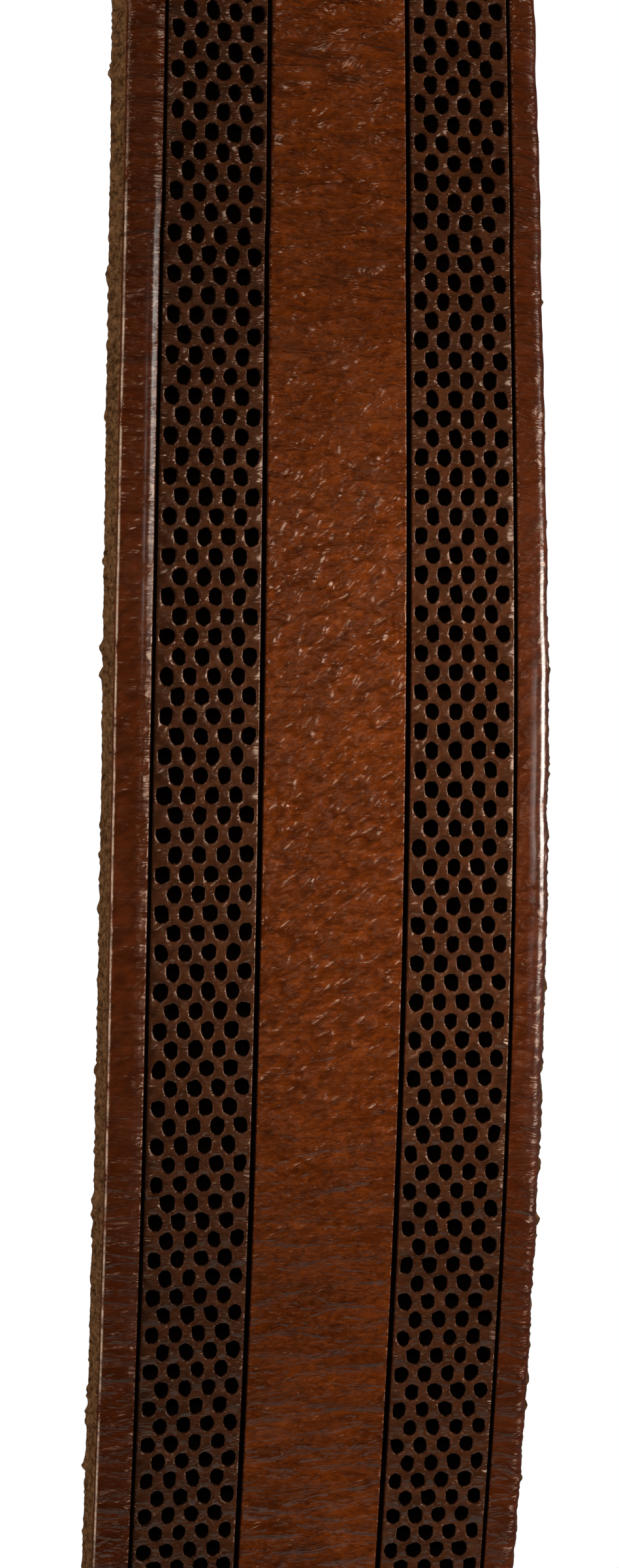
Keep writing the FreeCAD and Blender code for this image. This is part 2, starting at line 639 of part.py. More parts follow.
os.makedirs("parts", exist_ok=True)
for item in nodes:
    item.Shape.exportStep(f"parts/{item.Label}.step")
    box = item.Shape.BoundBox
    print(f"{item.Label:22s} {item.Shape.Volume / 1000:8.2f} cm3  solids {len(item.Shape.Solids):3d}  "
          f"x {box.XMin:.1f} {box.XMax:.1f}  y {box.YMin:.1f} {box.YMax:.1f}  z {box.ZMin:.1f} {box.ZMax:.1f}")
print("front end depth", round(front_depth, 3), "path end height", round(path_end.z, 3))
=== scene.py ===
# %% [markdown]
# # A hanging leather guitar strap
# The strap hangs from the button hole of its rear ear. Most of what one sees is the shoulder band:
# a two inch strip of thick leather whose grain face was pressed with a hot plate. The metal fittings
# come ready made from the frame; the leather and the thread are modelled here around it.

# %% Load the frame
import json
import math
import random

import bmesh
import bpy
from mathutils import Matrix, Vector, noise

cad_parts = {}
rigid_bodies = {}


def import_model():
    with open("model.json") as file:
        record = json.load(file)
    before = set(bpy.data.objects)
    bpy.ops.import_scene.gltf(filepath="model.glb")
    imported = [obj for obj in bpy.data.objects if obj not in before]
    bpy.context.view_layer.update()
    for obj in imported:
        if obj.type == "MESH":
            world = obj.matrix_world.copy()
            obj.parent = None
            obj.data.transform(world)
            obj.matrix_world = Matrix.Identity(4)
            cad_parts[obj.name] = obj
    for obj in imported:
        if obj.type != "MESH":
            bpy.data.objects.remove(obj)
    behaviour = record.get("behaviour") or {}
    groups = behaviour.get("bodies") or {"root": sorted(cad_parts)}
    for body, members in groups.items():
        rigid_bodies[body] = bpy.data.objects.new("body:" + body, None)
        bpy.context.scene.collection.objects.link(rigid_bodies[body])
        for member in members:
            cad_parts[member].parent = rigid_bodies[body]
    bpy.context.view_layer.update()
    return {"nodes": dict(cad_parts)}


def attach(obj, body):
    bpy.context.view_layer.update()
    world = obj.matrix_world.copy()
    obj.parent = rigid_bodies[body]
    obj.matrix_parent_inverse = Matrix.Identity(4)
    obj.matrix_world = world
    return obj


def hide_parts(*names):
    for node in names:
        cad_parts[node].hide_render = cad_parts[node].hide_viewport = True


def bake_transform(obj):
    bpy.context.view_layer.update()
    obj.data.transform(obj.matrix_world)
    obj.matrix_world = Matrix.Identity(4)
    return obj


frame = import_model()
MM = 0.001
dice = random.Random(7)
print("nodes in the frame:", len(frame["nodes"]))

# %% [markdown]
# ## The line the leather takes
# Old leather keeps the shape it was worn in: this band leans forward, bows back over its lower half
# and turns a little on itself above the middle. One function gives the lean and one the turn at any
# distance along the strap, so the flat, finished leather can be hung on that line at the very end.
# Working flat and bending last is how the real strap was made too.

# %% Lean, turn and stations along the strap
FORWARD_LEAN = math.radians(6.75)
TWIST = math.radians(15.5)
TOP_HINGE = Vector((0, -3.4, -180.0))
LEAN_START, LEAN_END = -190.0, -90.0
BOW_START, BOW_END, BOW_FADE = -60.0, 140.0, 200.0
TWIST_START, TWIST_PEAK, TWIST_END = -250.0, -130.0, 25.0
# Leaning and bowing balance, so the lower hinge hangs almost straight under the upper one.
LEANING = (LEAN_END - LEAN_START) / 2 + BOW_START - LEAN_END + (BOW_END - BOW_START) / 2
BOWING = (BOW_END - BOW_START) / 2 + (BOW_FADE - BOW_END) / 2
BACK_LEAN = FORWARD_LEAN * LEANING / BOWING
LINE_LENGTH = round(BOW_FADE - TWIST_START)
BAND_TOP_HEIGHT, BAND_BOTTOM_HEIGHT = -34.0, -768.0


def ease(value):
    value = min(max(value, 0.0), 1.0)
    return value * value * (3 - 2 * value)


def stretch_of(along, start, full, fading, end):
    """One between full and fading, easing to none at start and at end."""
    return ease((along - start) / (full - start)) * ease((end - along) / (end - fading))


def lean_at(along):
    if along < LEAN_END:
        return -FORWARD_LEAN * ease((along - LEAN_START) / (LEAN_END - LEAN_START))
    if along < BOW_END:
        bowed = ease((along - BOW_START) / (BOW_END - BOW_START))
        return -FORWARD_LEAN + (FORWARD_LEAN + BACK_LEAN) * bowed
    return BACK_LEAN * (1 - ease((along - BOW_END) / (BOW_FADE - BOW_END)))


def twist_at(along):
    return TWIST * stretch_of(along, TWIST_START, TWIST_PEAK, TWIST_PEAK, TWIST_END)


line = [TOP_HINGE.copy()]
for step in range(LINE_LENGTH):
    lean = lean_at(TWIST_START + step + 0.5)
    line.append(line[-1] + Vector((0, math.sin(lean), -math.cos(lean))))


def line_at(along):
    """The point of the line, straight beyond both hinges."""
    place = along - TWIST_START
    if place <= 0:
        return line[0] + Vector((0, 0, -place))
    if place >= LINE_LENGTH:
        return line[-1] - Vector((0, 0, place - LINE_LENGTH))
    low = int(place)
    return line[low].lerp(line[low + 1], place - low)


BAND_TOP = TWIST_START - (BAND_TOP_HEIGHT - TOP_HINGE.z)
BAND_BOTTOM = BOW_FADE + (line[-1].z - BAND_BOTTOM_HEIGHT)
print("band runs from", BAND_TOP, "to", round(BAND_BOTTOM, 1), "- lower hinge at", line[-1])

# %% [markdown]
# ## The camera
# The camera comes early because it decides where the finest detail is needed. It stands close, a
# little to the left of the strap and a little above its middle, and takes in only a hand's length of it.
# The picture is taller than wide, so the sensor's long side stands upright.

# %% Camera
AZIMUTH, ELEVATION, ROLL = math.radians(14.2), math.radians(7.8), math.radians(1.49)
DISTANCE, FIELD_HEIGHT = 400.0, 170.5757
middle = line_at(0.0)
target = Vector((-2.34, middle.y, middle.z))
forward = Vector((math.sin(AZIMUTH) * math.cos(ELEVATION), math.cos(AZIMUTH) * math.cos(ELEVATION),
                  -math.sin(ELEVATION)))
side = Vector((math.cos(AZIMUTH), -math.sin(AZIMUTH), 0))
above = side.cross(forward)
right = side * math.cos(ROLL) + above * math.sin(ROLL)
upward = right.cross(forward)
camera_data = bpy.data.cameras.new("strap_camera")
camera = bpy.data.objects.new("strap_camera", camera_data)
bpy.context.collection.objects.link(camera)
turn = Matrix((right, upward, -forward)).transposed()
camera.matrix_world = Matrix.Translation((target - forward * DISTANCE) * MM) @ turn.to_4x4()
camera_data.sensor_width = 36.0
camera_data.lens = DISTANCE * camera_data.sensor_width / FIELD_HEIGHT
camera_data.clip_start = 0.01
bpy.context.scene.camera = camera
print("lens", round(camera_data.lens, 1), "mm")

# %% [markdown]
# ## How the plate divides the leather
# Across the strip the plate left a plain margin, a thin line, a band of pits, a heavier line, a plain
# centre, and the same again mirrored. Pits stand in rows, each row shifted by half a pitch. The plate
# is shorter than the strap, so it was pressed again and again: where two pressings meet, the rows
# stand a hair further apart and the lines jog sideways.

# %% Sizes of the embossing
# All in millimetres, and across the strap from its middle.
HALF_GRAIN = 24.25
HALF_FLESH = 25.4
THICK = 3.8
OUTER_LINE, OUTER_LINE_WIDTH, OUTER_LINE_DEPTH = 20.49, 0.46, 0.38
INNER_LINE, INNER_LINE_WIDTH, INNER_LINE_DEPTH = 8.26, 0.66, 0.48
PIT_PITCH, ROW_PITCH = 2.683, 2.1246
FIRST_PIT = 19.05
PIT_COLUMNS = 8
FIRST_ROW, PLATE_ROWS, PLATE_GAP = -58.53, 82, 0.24
PLATE_JOG = 0.13
# the rows of the right band stand this much higher
RIGHT_LAG = 0.35
PITS_FROM, PITS_TO = BAND_TOP + 72.0, BAND_BOTTOM - 80.0
PIT_ACROSS, PIT_ALONG = 0.93, 1.10
PIT_STEPS = ((0.15, 0.16), (0.07, 0.34), (0.18, 0.30))
# a plain column this close to a line keeps the shading beside it flat
HOLD = 0.25
# the left margin swells beside its line, the right one rolls round to the flesh side
BULGE, BULGE_PLACE, BULGE_SPREAD = 0.34, 21.9, 0.8
FALL, FALL_FROM = 0.22, 22.0
ROLL_RADIUS = 2.1
# steps out from the grain face and down the two cut edges: first skin, then bare fibre
LEFT_SKIN = [(0.20, -0.30), (0.36, -0.44), (0.46, -0.64), (0.50, -0.86)]
RIGHT_SKIN = [(0.20, -1.05), (0.36, -1.35), (0.46, -1.75), (0.50, -2.15)]
FIBRE_STEPS = [(0.54, -2.6), (0.72, -2.85), (0.90, -3.15), (1.06, -3.5), (0.85, -THICK)]
LEFT_FIBRE = [(0.45, -1.05), (0.60, -1.4)] + FIBRE_STEPS[1:]


def row_place(row):
    return FIRST_ROW + row * ROW_PITCH + math.floor(row / PLATE_ROWS) * PLATE_GAP


def groove(line_place, width):
    return [line_place - width / 2 - 0.1, line_place - width / 4, line_place + width / 4,
            line_place + width / 2 + 0.1]


pit_columns = [FIRST_PIT - PIT_PITCH / 2 * column for column in range(PIT_COLUMNS)]
right_half = [0.0, 1.2, 2.4, 3.6, 4.8, 6.0, 7.0, INNER_LINE - INNER_LINE_WIDTH / 2 - HOLD]
right_half += groove(INNER_LINE, INNER_LINE_WIDTH)
right_half += sorted(pit_columns)
right_half += groove(OUTER_LINE, OUTER_LINE_WIDTH)
right_half += [OUTER_LINE + OUTER_LINE_WIDTH / 2 + HOLD, 21.4, 22.0, 22.6, 23.2, 23.6, 23.95, HALF_GRAIN]
columns = [-place for place in reversed(right_half[1:])] + right_half
print(len(columns), "columns across,", len(pit_columns), "of pits in each band")

# %% [markdown]
# ## Making one stretch of band, flat
# The grain face starts as a plain grid whose columns and rows fall exactly on the lines and pits.
# Then the same operators do what the press did: the columns of a line are lowered, and every second
# crossing of the pit columns is bevelled open into a small face, rounded to an oval, and inset
# downwards three times. The cut edges are extruded from the two long sides, the flesh side is bridged
# between them, and the ends are closed. This is far lighter than a displacement fine enough to hold
# a thousand crisp pits.

# %% The grain face as a grid
TOP_CORNER = 12.0
TONGUE_HALF, TONGUE_FROM, TONGUE_TAPER = 13.0, 64.0, 40.0
STRAIGHT_SHARE = 0.35


def rounded(half, corner, from_end):
    """Half width of a strip that far from an end with round corners."""
    missing = min(max(corner - from_end, 0.0), corner)
    return half - corner + math.sqrt(corner ** 2 - missing ** 2)


def half_width_at(along):
    """How wide the strip is cut: round shoulders at the rear end, a tongue at the front end."""
    taper = min((TONGUE_FROM - (BAND_BOTTOM - along)) / TONGUE_TAPER, 1.0)
    if taper > 0:
        narrowed = STRAIGHT_SHARE * taper + (1 - STRAIGHT_SHARE) * ease(taper)
        return HALF_FLESH + (TONGUE_HALF - HALF_FLESH) * narrowed
    return rounded(HALF_FLESH, TOP_CORNER, along - BAND_TOP)


def grain_height(place):
    """Height of the grain face: pressed lines, and a margin that rolls down to the cut edge."""
    away = abs(place)
    height = 0.0
    for line_place, width, depth in ((OUTER_LINE, OUTER_LINE_WIDTH, OUTER_LINE_DEPTH),
                                     (INNER_LINE, INNER_LINE_WIDTH, INNER_LINE_DEPTH)):
        if abs(away - line_place) < width / 3:
            height -= depth
    if place < -OUTER_LINE - 0.3:
        height += BULGE * math.exp(-((away - BULGE_PLACE) / BULGE_SPREAD) ** 2)
    into = place - (HALF_GRAIN + RIGHT_SKIN[-1][0] - ROLL_RADIUS)
    if into > 0:
        height -= ROLL_RADIUS - math.sqrt(ROLL_RADIUS ** 2 - into ** 2)
    elif away > FALL_FROM:
        height -= FALL * ((away - FALL_FROM) / (HALF_GRAIN - FALL_FROM)) ** 2.5
    return height


def rows_between(start, end):
    places = [start]
    row = math.ceil((start - FIRST_ROW) / ROW_PITCH) - 4
    while row_place(row) < end - 0.7:
        if row_place(row) > start + 0.7:
            places.append(row_place(row))
        row += 1
    places.append(end)
    return places


def row_number(along):
    """The plate row nearest to a place, or None when the place is no row."""
    guess = round((along - FIRST_ROW) / (ROW_PITCH + PLATE_GAP / PLATE_ROWS))
    for row in range(guess - 2, guess + 3):
        if abs(row_place(row) - along) < 0.01:
            return row
    return None


def grid_of(mesh, columns, rows):
    """Fill a mesh with a grid, and give each vertex with the column and the row that it stands for."""
    bmesh.ops.create_grid(mesh, x_segments=len(columns) - 1, y_segments=len(rows) - 1, size=1.0)
    for vertex in mesh.verts:
        column = round((vertex.co.x + 1) / 2 * (len(columns) - 1))
        row = round((vertex.co.y + 1) / 2 * (len(rows) - 1))
        yield vertex, columns[column], rows[row]


def flat_grain(mesh, rows):
    """The grain face as a grid, with the crossings that are to be pitted."""
    pits = []
    for vertex, place, along in grid_of(mesh, columns, rows):
        row = row_number(along)
        if row is not None and PITS_FROM < along < PITS_TO:
            for order, pit_place in enumerate(pit_columns):
                if abs(abs(place) - pit_place) < 0.01 and (order + row) % 2 == 0:
                    pits.append(vertex)
        vertex.co = (place, along, grain_height(place))
    return pits


print("rows in the middle stretch:", len(rows_between(-150.0, 150.0)))


# %% Opening the pits
def press_pits(mesh, pits):
    """Bevel each crossing open, round it to an oval and sink it in three steps."""
    made = bmesh.ops.bevel(mesh, geom=pits, offset=50.0, offset_type="PERCENT", affect="VERTICES",
                           segments=1, profile=0.5, material=-1)
    faces = [face for face in made["faces"] if len(face.verts) == 4]
    middles = [face.calc_center_median() for face in faces]
    edges = list({edge for face in faces for edge in face.edges})
    bmesh.ops.subdivide_edges(mesh, edges=edges, cuts=2)
    for face, centre in zip(faces, middles):
        across = PIT_ACROSS * dice.uniform(0.93, 1.06)
        long = PIT_ALONG * dice.uniform(0.94, 1.05)
        slant = dice.uniform(-0.05, 0.09)
        nick = dice.uniform(0.0, 0.24)
        lumps = [dice.uniform(0.93, 1.08) for _ in range(12)]
        for vertex, lump in zip(face.verts, lumps):
            step = vertex.co - centre
            angle = math.atan2(step.y / PIT_ALONG, step.x / PIT_ACROSS)
            corner = max(0.0, math.cos(angle - math.radians(205)))
            squarer = 1 + 0.07 * math.sin(2 * angle) ** 2
            stretch = squarer * lump + nick * corner ** 10
            x, y = across * math.cos(angle) * stretch, long * math.sin(angle) * stretch
            vertex.co = centre + Vector((x + slant * y, y, 0))
    for inset, depth in PIT_STEPS:
        bmesh.ops.inset_individual(mesh, faces=faces, thickness=inset, depth=-depth,
                                   use_even_offset=False)
    return len(faces)


# %% [markdown]
# ## Cut edges, flesh side and ends
# The strip was cut from the hide with a slanting blade, so the flesh side is a little wider than the
# grain side. The edge was never painted: it shows bare fibre. It gets six times as many rows as the
# face, because its ragged outline is seen against the light.

# %% Giving the strip its thickness

def long_sides(mesh):
    left, right_side = [], []
    for edge in mesh.edges:
        if not edge.is_boundary:
            continue
        places = [vertex.co.x for vertex in edge.verts]
        if max(places) < -HALF_GRAIN + 0.01:
            left.append(edge)
        elif min(places) > HALF_GRAIN - 0.01:
            right_side.append(edge)
    return left, right_side


def give_thickness(mesh):
    """Extrude both long sides round to the flesh side, bridge it, and close the ends."""
    last = []
    for sign, edges in zip((-1, 1), long_sides(mesh)):
        for out, down in LEFT_SKIN + LEFT_FIBRE if sign < 0 else RIGHT_SKIN + FIBRE_STEPS:
            made = bmesh.ops.extrude_edge_only(mesh, edges=edges)["geom"]
            edges = [item for item in made if isinstance(item, bmesh.types.BMEdge)]
            for vertex in {vertex for edge in edges for vertex in edge.verts}:
                vertex.co.x = sign * (HALF_GRAIN + out)
                vertex.co.z = down
        last += edges
    flesh = bmesh.ops.bridge_loops(mesh, edges=last)["faces"]
    across = {edge for face in flesh for edge in face.edges
              if abs(edge.verts[0].co.x - edge.verts[1].co.x) > 10}
    bmesh.ops.subdivide_edges(mesh, edges=list(across), cuts=7, use_grid_fill=True)
    fibre = [edge for edge in mesh.edges
             if min(abs(vertex.co.x) for vertex in edge.verts) > HALF_GRAIN - 0.03
             and max(vertex.co.z for vertex in edge.verts) < -0.1
             and abs(edge.verts[0].co.y - edge.verts[1].co.y) > 0.5]
    bmesh.ops.subdivide_edges(mesh, edges=fibre, cuts=5, use_grid_fill=True)
    bmesh.ops.holes_fill(mesh, edges=[edge for edge in mesh.edges if edge.is_boundary])
    bmesh.ops.recalc_face_normals(mesh, faces=mesh.faces)


# %% [markdown]
# ## Hanging the flat leather
# Each vertex keeps a note of where it lay on the flat leather: that note, and how deep it was pressed,
# is what the leather material reads, so grain, dye and the painted shade of the hollows follow the
# leather when it bends. Then the vertex is moved onto the hanging line. The ragged edge and a few soft
# waves are added in the same pass.

# %% Ragged edge and soft waves
def edge_share(place, height):
    """One on the cut edge, none on the grain face."""
    skin = LEFT_SKIN[-1][1] if place < 0 else RIGHT_SKIN[-1][1]
    return ease((skin + 0.02 - height) / 0.2) if abs(place) > HALF_GRAIN + 0.3 else 0.0


def ragged(place, along, height):
    """How far the fibres of the cut edge stand out at one spot."""
    spot = Vector((place * 0.3, along * 1.1, height * 1.3))
    rough = noise.fractal(spot, 0.7, 2.1, 4) * 0.25
    tuft = max(0.0, noise.noise(Vector((along * 0.62, height * 0.5, place))) - 0.18) * 0.75
    return rough + tuft


def wave(place, along):
    """The slow unevenness of a strap that was worn for years."""
    far = abs(place) / HALF_FLESH
    slow = noise.noise(Vector((place * 0.03, along * 0.022, 3.7))) * 0.35
    ripple = noise.noise(Vector((place * 0.1, along * 0.13, 8.1))) * 0.22 * max(far - 0.85, 0.0) / 0.15
    ripple += noise.noise(Vector((1.0, along * 0.30, 2.5))) * 0.16 * ease((place - 21.5) / 2)
    return slow * far + ripple


def scalloped(place, along):
    """The rolled side was cut by hand: its outline runs in and out."""
    near = ease((place - 22.4) / 2.2)
    slow = noise.noise(Vector((2.1, along * 0.045, 0.0))) * 0.35
    quick = noise.fractal(Vector((5.3, along * 0.16, 0.0)), 0.8, 2.0, 3) * 0.20
    return (slow + quick) * near


CUP = 0.0028
# where along the strap the edge is made pale, which is wear and a painted highlight, and the sides are
# waxed: start, full, fading and end
PALE_EDGE = -72.0, -56.0, 88.0, 128.0
RIGHT_WAX = -34.0, -12.0, 32.0, 58.0
LEFT_WAX, LEFT_WAX_SHARE = ((-66.0, -52.0, -22.0, -8.0), (26.0, 36.0, 56.0, 66.0)), 0.38


def hung(place, along, height):
    """From flat leather to the hanging strap, all in millimetres."""
    width = half_width_at(along) / HALF_FLESH
    ends = min(ease((along - BAND_TOP - 60) / 90), ease((BAND_BOTTOM - 70 - along) / 60))
    lean, twist = lean_at(along), twist_at(along)
    away = Vector((0, math.cos(lean), math.sin(lean)))
    across = Vector((math.cos(twist), 0, 0)) + away * math.sin(twist)
    outward = Vector((math.sin(twist), 0, 0)) - away * math.cos(twist)
    lift = THICK / 2 + height + (CUP * place * place / 2 + wave(place, along)) * ends
    inward = (1 - width) * HALF_FLESH * ease(abs(place) / HALF_FLESH) ** 2 + scalloped(place, along)
    place -= math.copysign(inward, place)
    return line_at(along) + across * place + outward * lift


# %% Building a stretch of band
def smooth(mesh, sharp=180.0):
    """Shade a mesh smooth except where it turns by more than the sharp angle."""
    for face in mesh.faces:
        face.smooth = True
    for edge in mesh.edges:
        if len(edge.link_faces) == 2 and edge.calc_face_angle() > math.radians(sharp):
            edge.smooth = False


def finished(name, mesh):
    """Make a mesh an object of the scene."""
    data = bpy.data.meshes.new(name)
    mesh.to_mesh(data)
    mesh.free()
    piece = bpy.data.objects.new(name, data)
    bpy.context.collection.objects.link(piece)
    return piece


def band_stretch(name, start, end):
    """One stretch of the shoulder band as a finished object."""
    mesh = bmesh.new()
    pits = flat_grain(mesh, rows_between(start, end))
    count = press_pits(mesh, pits)
    give_thickness(mesh)
    flat = mesh.verts.layers.float_vector.new("flat_place")
    pressed, cut, worn, burnished = [mesh.verts.layers.float.new(layer)
                                     for layer in ("pressed", "cut_edge", "worn", "burnished")]
    for vertex in mesh.verts:
        place, along, height = vertex.co
        edge = edge_share(place, height)
        flesh_side = 1.0 if height < -THICK + 0.05 else 0.0
        vertex[flat] = vertex.co * MM
        if abs(place) < FALL_FROM and not flesh_side:
            vertex[pressed] = min(max(-height / 0.35, 0.0), 1.0)
        vertex[cut] = max(edge, flesh_side)
        # wear and painted highlight: the edge of the grain face is marked to be made pale
        if abs(place) > HALF_GRAIN + 0.25 and height > -0.55:
            vertex[worn] = 0.15 + 0.85 * stretch_of(along, *PALE_EDGE)
        if height > -2.0:
            waxed = sum(stretch_of(along, *reach) for reach in LEFT_WAX)
            rolled = ease((place - 21.9) / 0.9) * (0.2 + 0.8 * stretch_of(along, *RIGHT_WAX))
            crest = stretch_of(-place, 20.8, 21.1, 22.1, 23.0)
            vertex[burnished] = max(rolled, LEFT_WAX_SHARE * waxed * crest)
        pressing = math.floor((along - FIRST_ROW + 1.2) / (PLATE_ROWS * ROW_PITCH + PLATE_GAP))
        jog = PLATE_JOG * (pressing % 2)
        inner = ease((HALF_GRAIN - abs(place)) / 3.0)
        lag = RIGHT_LAG * ease((place + INNER_LINE) / (2 * INNER_LINE))
        inside = min(ease((along - start) / 6.0), ease((end - along) / 6.0))
        place += jog * inner
        if edge and 0.5 < along - start and 0.5 < end - along:
            place += math.copysign(ragged(place, along, height), place) * edge
        vertex.co = hung(place, along - lag * inside * inner, height) * MM
    smooth(mesh, 65)
    piece = finished(name, mesh)
    triangles = sum(len(polygon.vertices) - 2 for polygon in piece.data.polygons)
    print(f"{name}: {count} pits, {triangles} triangles")
    return piece


SEAM_REAR, SEAM_FRONT = -150.0, 150.0
band_rear = band_stretch("shoulder_band_rear", BAND_TOP, SEAM_REAR)
band_middle = band_stretch("shoulder_band_middle", SEAM_REAR, SEAM_FRONT)
band_front = band_stretch("shoulder_band_front", SEAM_FRONT, BAND_BOTTOM)

# %% [markdown]
# ## The tabs at both ends
# The ear, the folded chape, the tail with its own ear, the patch that stiffens it and the keeper are
# all plain leather cut to an outline, punched, and in three cases folded. So one maker does them all: a
# grid is laid out flat, holes are opened where two grid lines cross, the leather gets its thickness,
# every rim is bevelled the way a leather worker skives and burnishes it, and the flat leaf is then laid
# along its fold.

# %% Flat leaves of leather
def lines_for(low, high, spacing, holes):
    """Grid lines from low to high, with one on each hole and none close beside it."""
    lines = {low, high} | {place for place, _ in holes}
    marks = sorted(lines)
    for start, end in zip(marks, marks[1:]):
        clear_start = max([room for place, room in holes if place == start] or [0])
        clear_end = max([room for place, room in holes if place == end] or [0])
        first, last = start + clear_start, end - clear_end
        if last <= first:
            continue
        count = max(round((last - first) / spacing), 1)
        lines |= {first + (last - first) * step / count for step in range(count + 1)}
    return sorted(lines)


def open_hole(mesh, vertex, radius, slit, slit_width):
    """Bevel a crossing open, round it, pull out the slit and take the face away."""
    centre = vertex.co.copy()
    made = bmesh.ops.bevel(mesh, geom=[vertex], offset=60.0, offset_type="PERCENT", affect="VERTICES",
                           segments=1, profile=0.5, material=-1)
    face = [item for item in made["faces"] if len(item.verts) == 4][0]
    bmesh.ops.subdivide_edges(mesh, edges=list(face.edges), cuts=11)
    for corner in face.verts:
        step = corner.co - centre
        angle = math.atan2(step.y, step.x)
        corner.co = centre + Vector((math.cos(angle), math.sin(angle), 0)) * radius
        aside = abs(math.cos(angle))
        if slit and math.sin(angle) * slit > 0 and aside < 0.3:
            corner.co.x = centre.x + math.copysign(slit_width / 2, math.cos(angle)) * (aside > 0.05)
            corner.co.y = centre.y + (slit if aside < 0.17 else math.copysign(radius * 0.98, slit))
    rim = face.verts[:]
    bmesh.ops.delete(mesh, geom=[face], context="FACES_ONLY")
    bmesh.ops.remove_doubles(mesh, verts=rim, dist=0.02)


def round_off(place, along, beyond, width_at):
    """Where the outline passes one place across, looked for between the last row and a spot beyond it."""
    if width_at(beyond) >= abs(place):
        return along
    inside, outside = along, beyond
    for _ in range(20):
        between = (inside + outside) / 2
        if width_at(between) > abs(place):
            inside = between
        else:
            outside = between
    return inside


def leaf(name, columns, rows, holes, width_at, thickness, lay, bevel=0.4):
    """A leaf of leather: flat grid, punched holes, thickness, burnished rims, laid along its fold.

    holes are (place across, place along, radius, slit); lay turns a flat place into millimetres."""
    mesh = bmesh.new()
    for vertex, place, along in grid_of(mesh, columns, rows):
        vertex.co = (place, along, 0)
    tips = [min(vertex.co.y for vertex in mesh.verts), max(vertex.co.y for vertex in mesh.verts)]
    for x, y, radius, slit in holes:
        crossing = min(mesh.verts, key=lambda vertex: (vertex.co - Vector((x, y, 0))).length)
        open_hole(mesh, crossing, radius, slit, 1.2)
    widest = max(abs(place) for place in columns)
    outline = [edge for edge in mesh.edges if edge.is_boundary
               and min(abs(vertex.co.x) for vertex in edge.verts) > widest - 0.01]
    bmesh.ops.subdivide_edges(mesh, edges=outline, cuts=4)
    for vertex in mesh.verts:
        share = width_at(vertex.co.y) / widest
        near = ease(abs(vertex.co.x) / widest)
        keep = max(near, ease((0.85 - share) / 0.4))
        vertex.co.x *= 1 - keep + keep * share
        if vertex.co.y in tips:
            beyond = vertex.co.y + math.copysign(0.6, vertex.co.y - sum(tips) / 2)
            vertex.co.y = round_off(vertex.co.x, vertex.co.y, beyond, width_at)
    raised = bmesh.ops.extrude_face_region(mesh, geom=mesh.faces[:])["geom"]
    for vertex in [item for item in raised if isinstance(item, bmesh.types.BMVert)]:
        vertex.co.z = -thickness
    bmesh.ops.recalc_face_normals(mesh, faces=mesh.faces)
    rims = [edge for edge in mesh.edges
            if len(edge.link_faces) == 2 and edge.calc_face_angle() > math.radians(70)
            and abs(edge.verts[0].co.z - edge.verts[1].co.z) < 0.01]
    bmesh.ops.bevel(mesh, geom=rims, offset=bevel, offset_type="OFFSET", affect="EDGES", segments=3,
                    profile=0.5, material=-1, clamp_overlap=True)
    walls = [edge for edge in mesh.edges
             if abs(edge.verts[0].co.z - edge.verts[1].co.z) > thickness * 0.4]
    bmesh.ops.subdivide_edges(mesh, edges=walls, cuts=1, use_grid_fill=True)
    flat = mesh.verts.layers.float_vector.new("flat_place")
    mesh.verts.layers.float.new("pressed")
    mesh.verts.layers.float.new("worn")
    cut = mesh.verts.layers.float.new("cut_edge")
    for vertex in mesh.verts:
        place, along, height = vertex.co
        vertex[flat] = vertex.co * MM
        vertex[cut] = ease((-height - 0.5 * bevel) / 0.5)
        vertex.co = lay(place, along, height) * MM
    smooth(mesh, 50)
    bmesh.ops.recalc_face_normals(mesh, faces=mesh.faces)
    piece = finished(name, mesh)
    print(f"{name}: {len(piece.data.polygons)} faces")
    return piece


def round_rows(tip, radius, toward):
    """Rows of a rounded end, closer together near its tip."""
    return [tip + toward * radius * (1 - math.cos(math.radians(angle)))
            for angle in (9, 19, 28, 38, 50, 63, 76, 90)]


def slot_width(radius, top, bottom):
    """Half width of a tab with a half circle at either end."""
    def width(along):
        beyond = max(along - top, bottom - along, 0.0)
        return math.sqrt(max(radius * radius - beyond * beyond, 0.0))
    return width


# %% [markdown]
# ### Rear ear
# A plain tab under the end of the band. The button hole is a round hole with a slit, so that it can
# be pushed over the guitar's button and still grips behind it.

# %% Rear ear and tail patch
EAR_RADIUS, EAR_LENGTH, EAR_THICK = 18.0, 78.0, 3.0
SLIT, BUTTON_HOLE, SCREW_HOLE = 13.0, 4.0, 2.5
tab_columns = lines_for(-EAR_RADIUS, EAR_RADIUS, 2.6, [(0.0, 7.0)])
ear_rows = sorted(set(round_rows(EAR_RADIUS, EAR_RADIUS, -1)[:-4]
                      + lines_for(-EAR_LENGTH, 9.0, 3.5, [(0.0, 9.0)])
                      + round_rows(-EAR_LENGTH - EAR_RADIUS, EAR_RADIUS, 1)[:-1]))
ear_rows = [row for row in ear_rows if not (-15.5 < row < -0.5 or 0.5 < row < 6.5)]


def lay_ear(place, along, height):
    return Vector((place, -EAR_THICK / 2 - height, along))


rear_ear = leaf("ear_rear", tab_columns, ear_rows, [(0.0, 0.0, BUTTON_HOLE, -SLIT)],
                slot_width(EAR_RADIUS, 0.0, -EAR_LENGTH), EAR_THICK, lay_ear)

FRONT_DEPTH = line[-1].y
TAIL_HOLE = -960.0
PATCH_RADIUS, PATCH_LENGTH, PATCH_THICK = 15.0, 11.0, 2.0
LEAF_GAP = 0.15
patch_columns = lines_for(-PATCH_RADIUS, PATCH_RADIUS, 2.6, [(0.0, 6.5)])
patch_rows = sorted(set(round_rows(-PATCH_RADIUS, PATCH_RADIUS, 1)[:-4] + [-7.0, 0.0, 15.5, 17.5, 19.5]
                        + round_rows(PATCH_LENGTH + PATCH_RADIUS, PATCH_RADIUS, -1)[:-3]))


def lay_patch(place, along, height):
    return Vector((-place, FRONT_DEPTH - LEAF_GAP + PATCH_THICK + height, TAIL_HOLE + along))


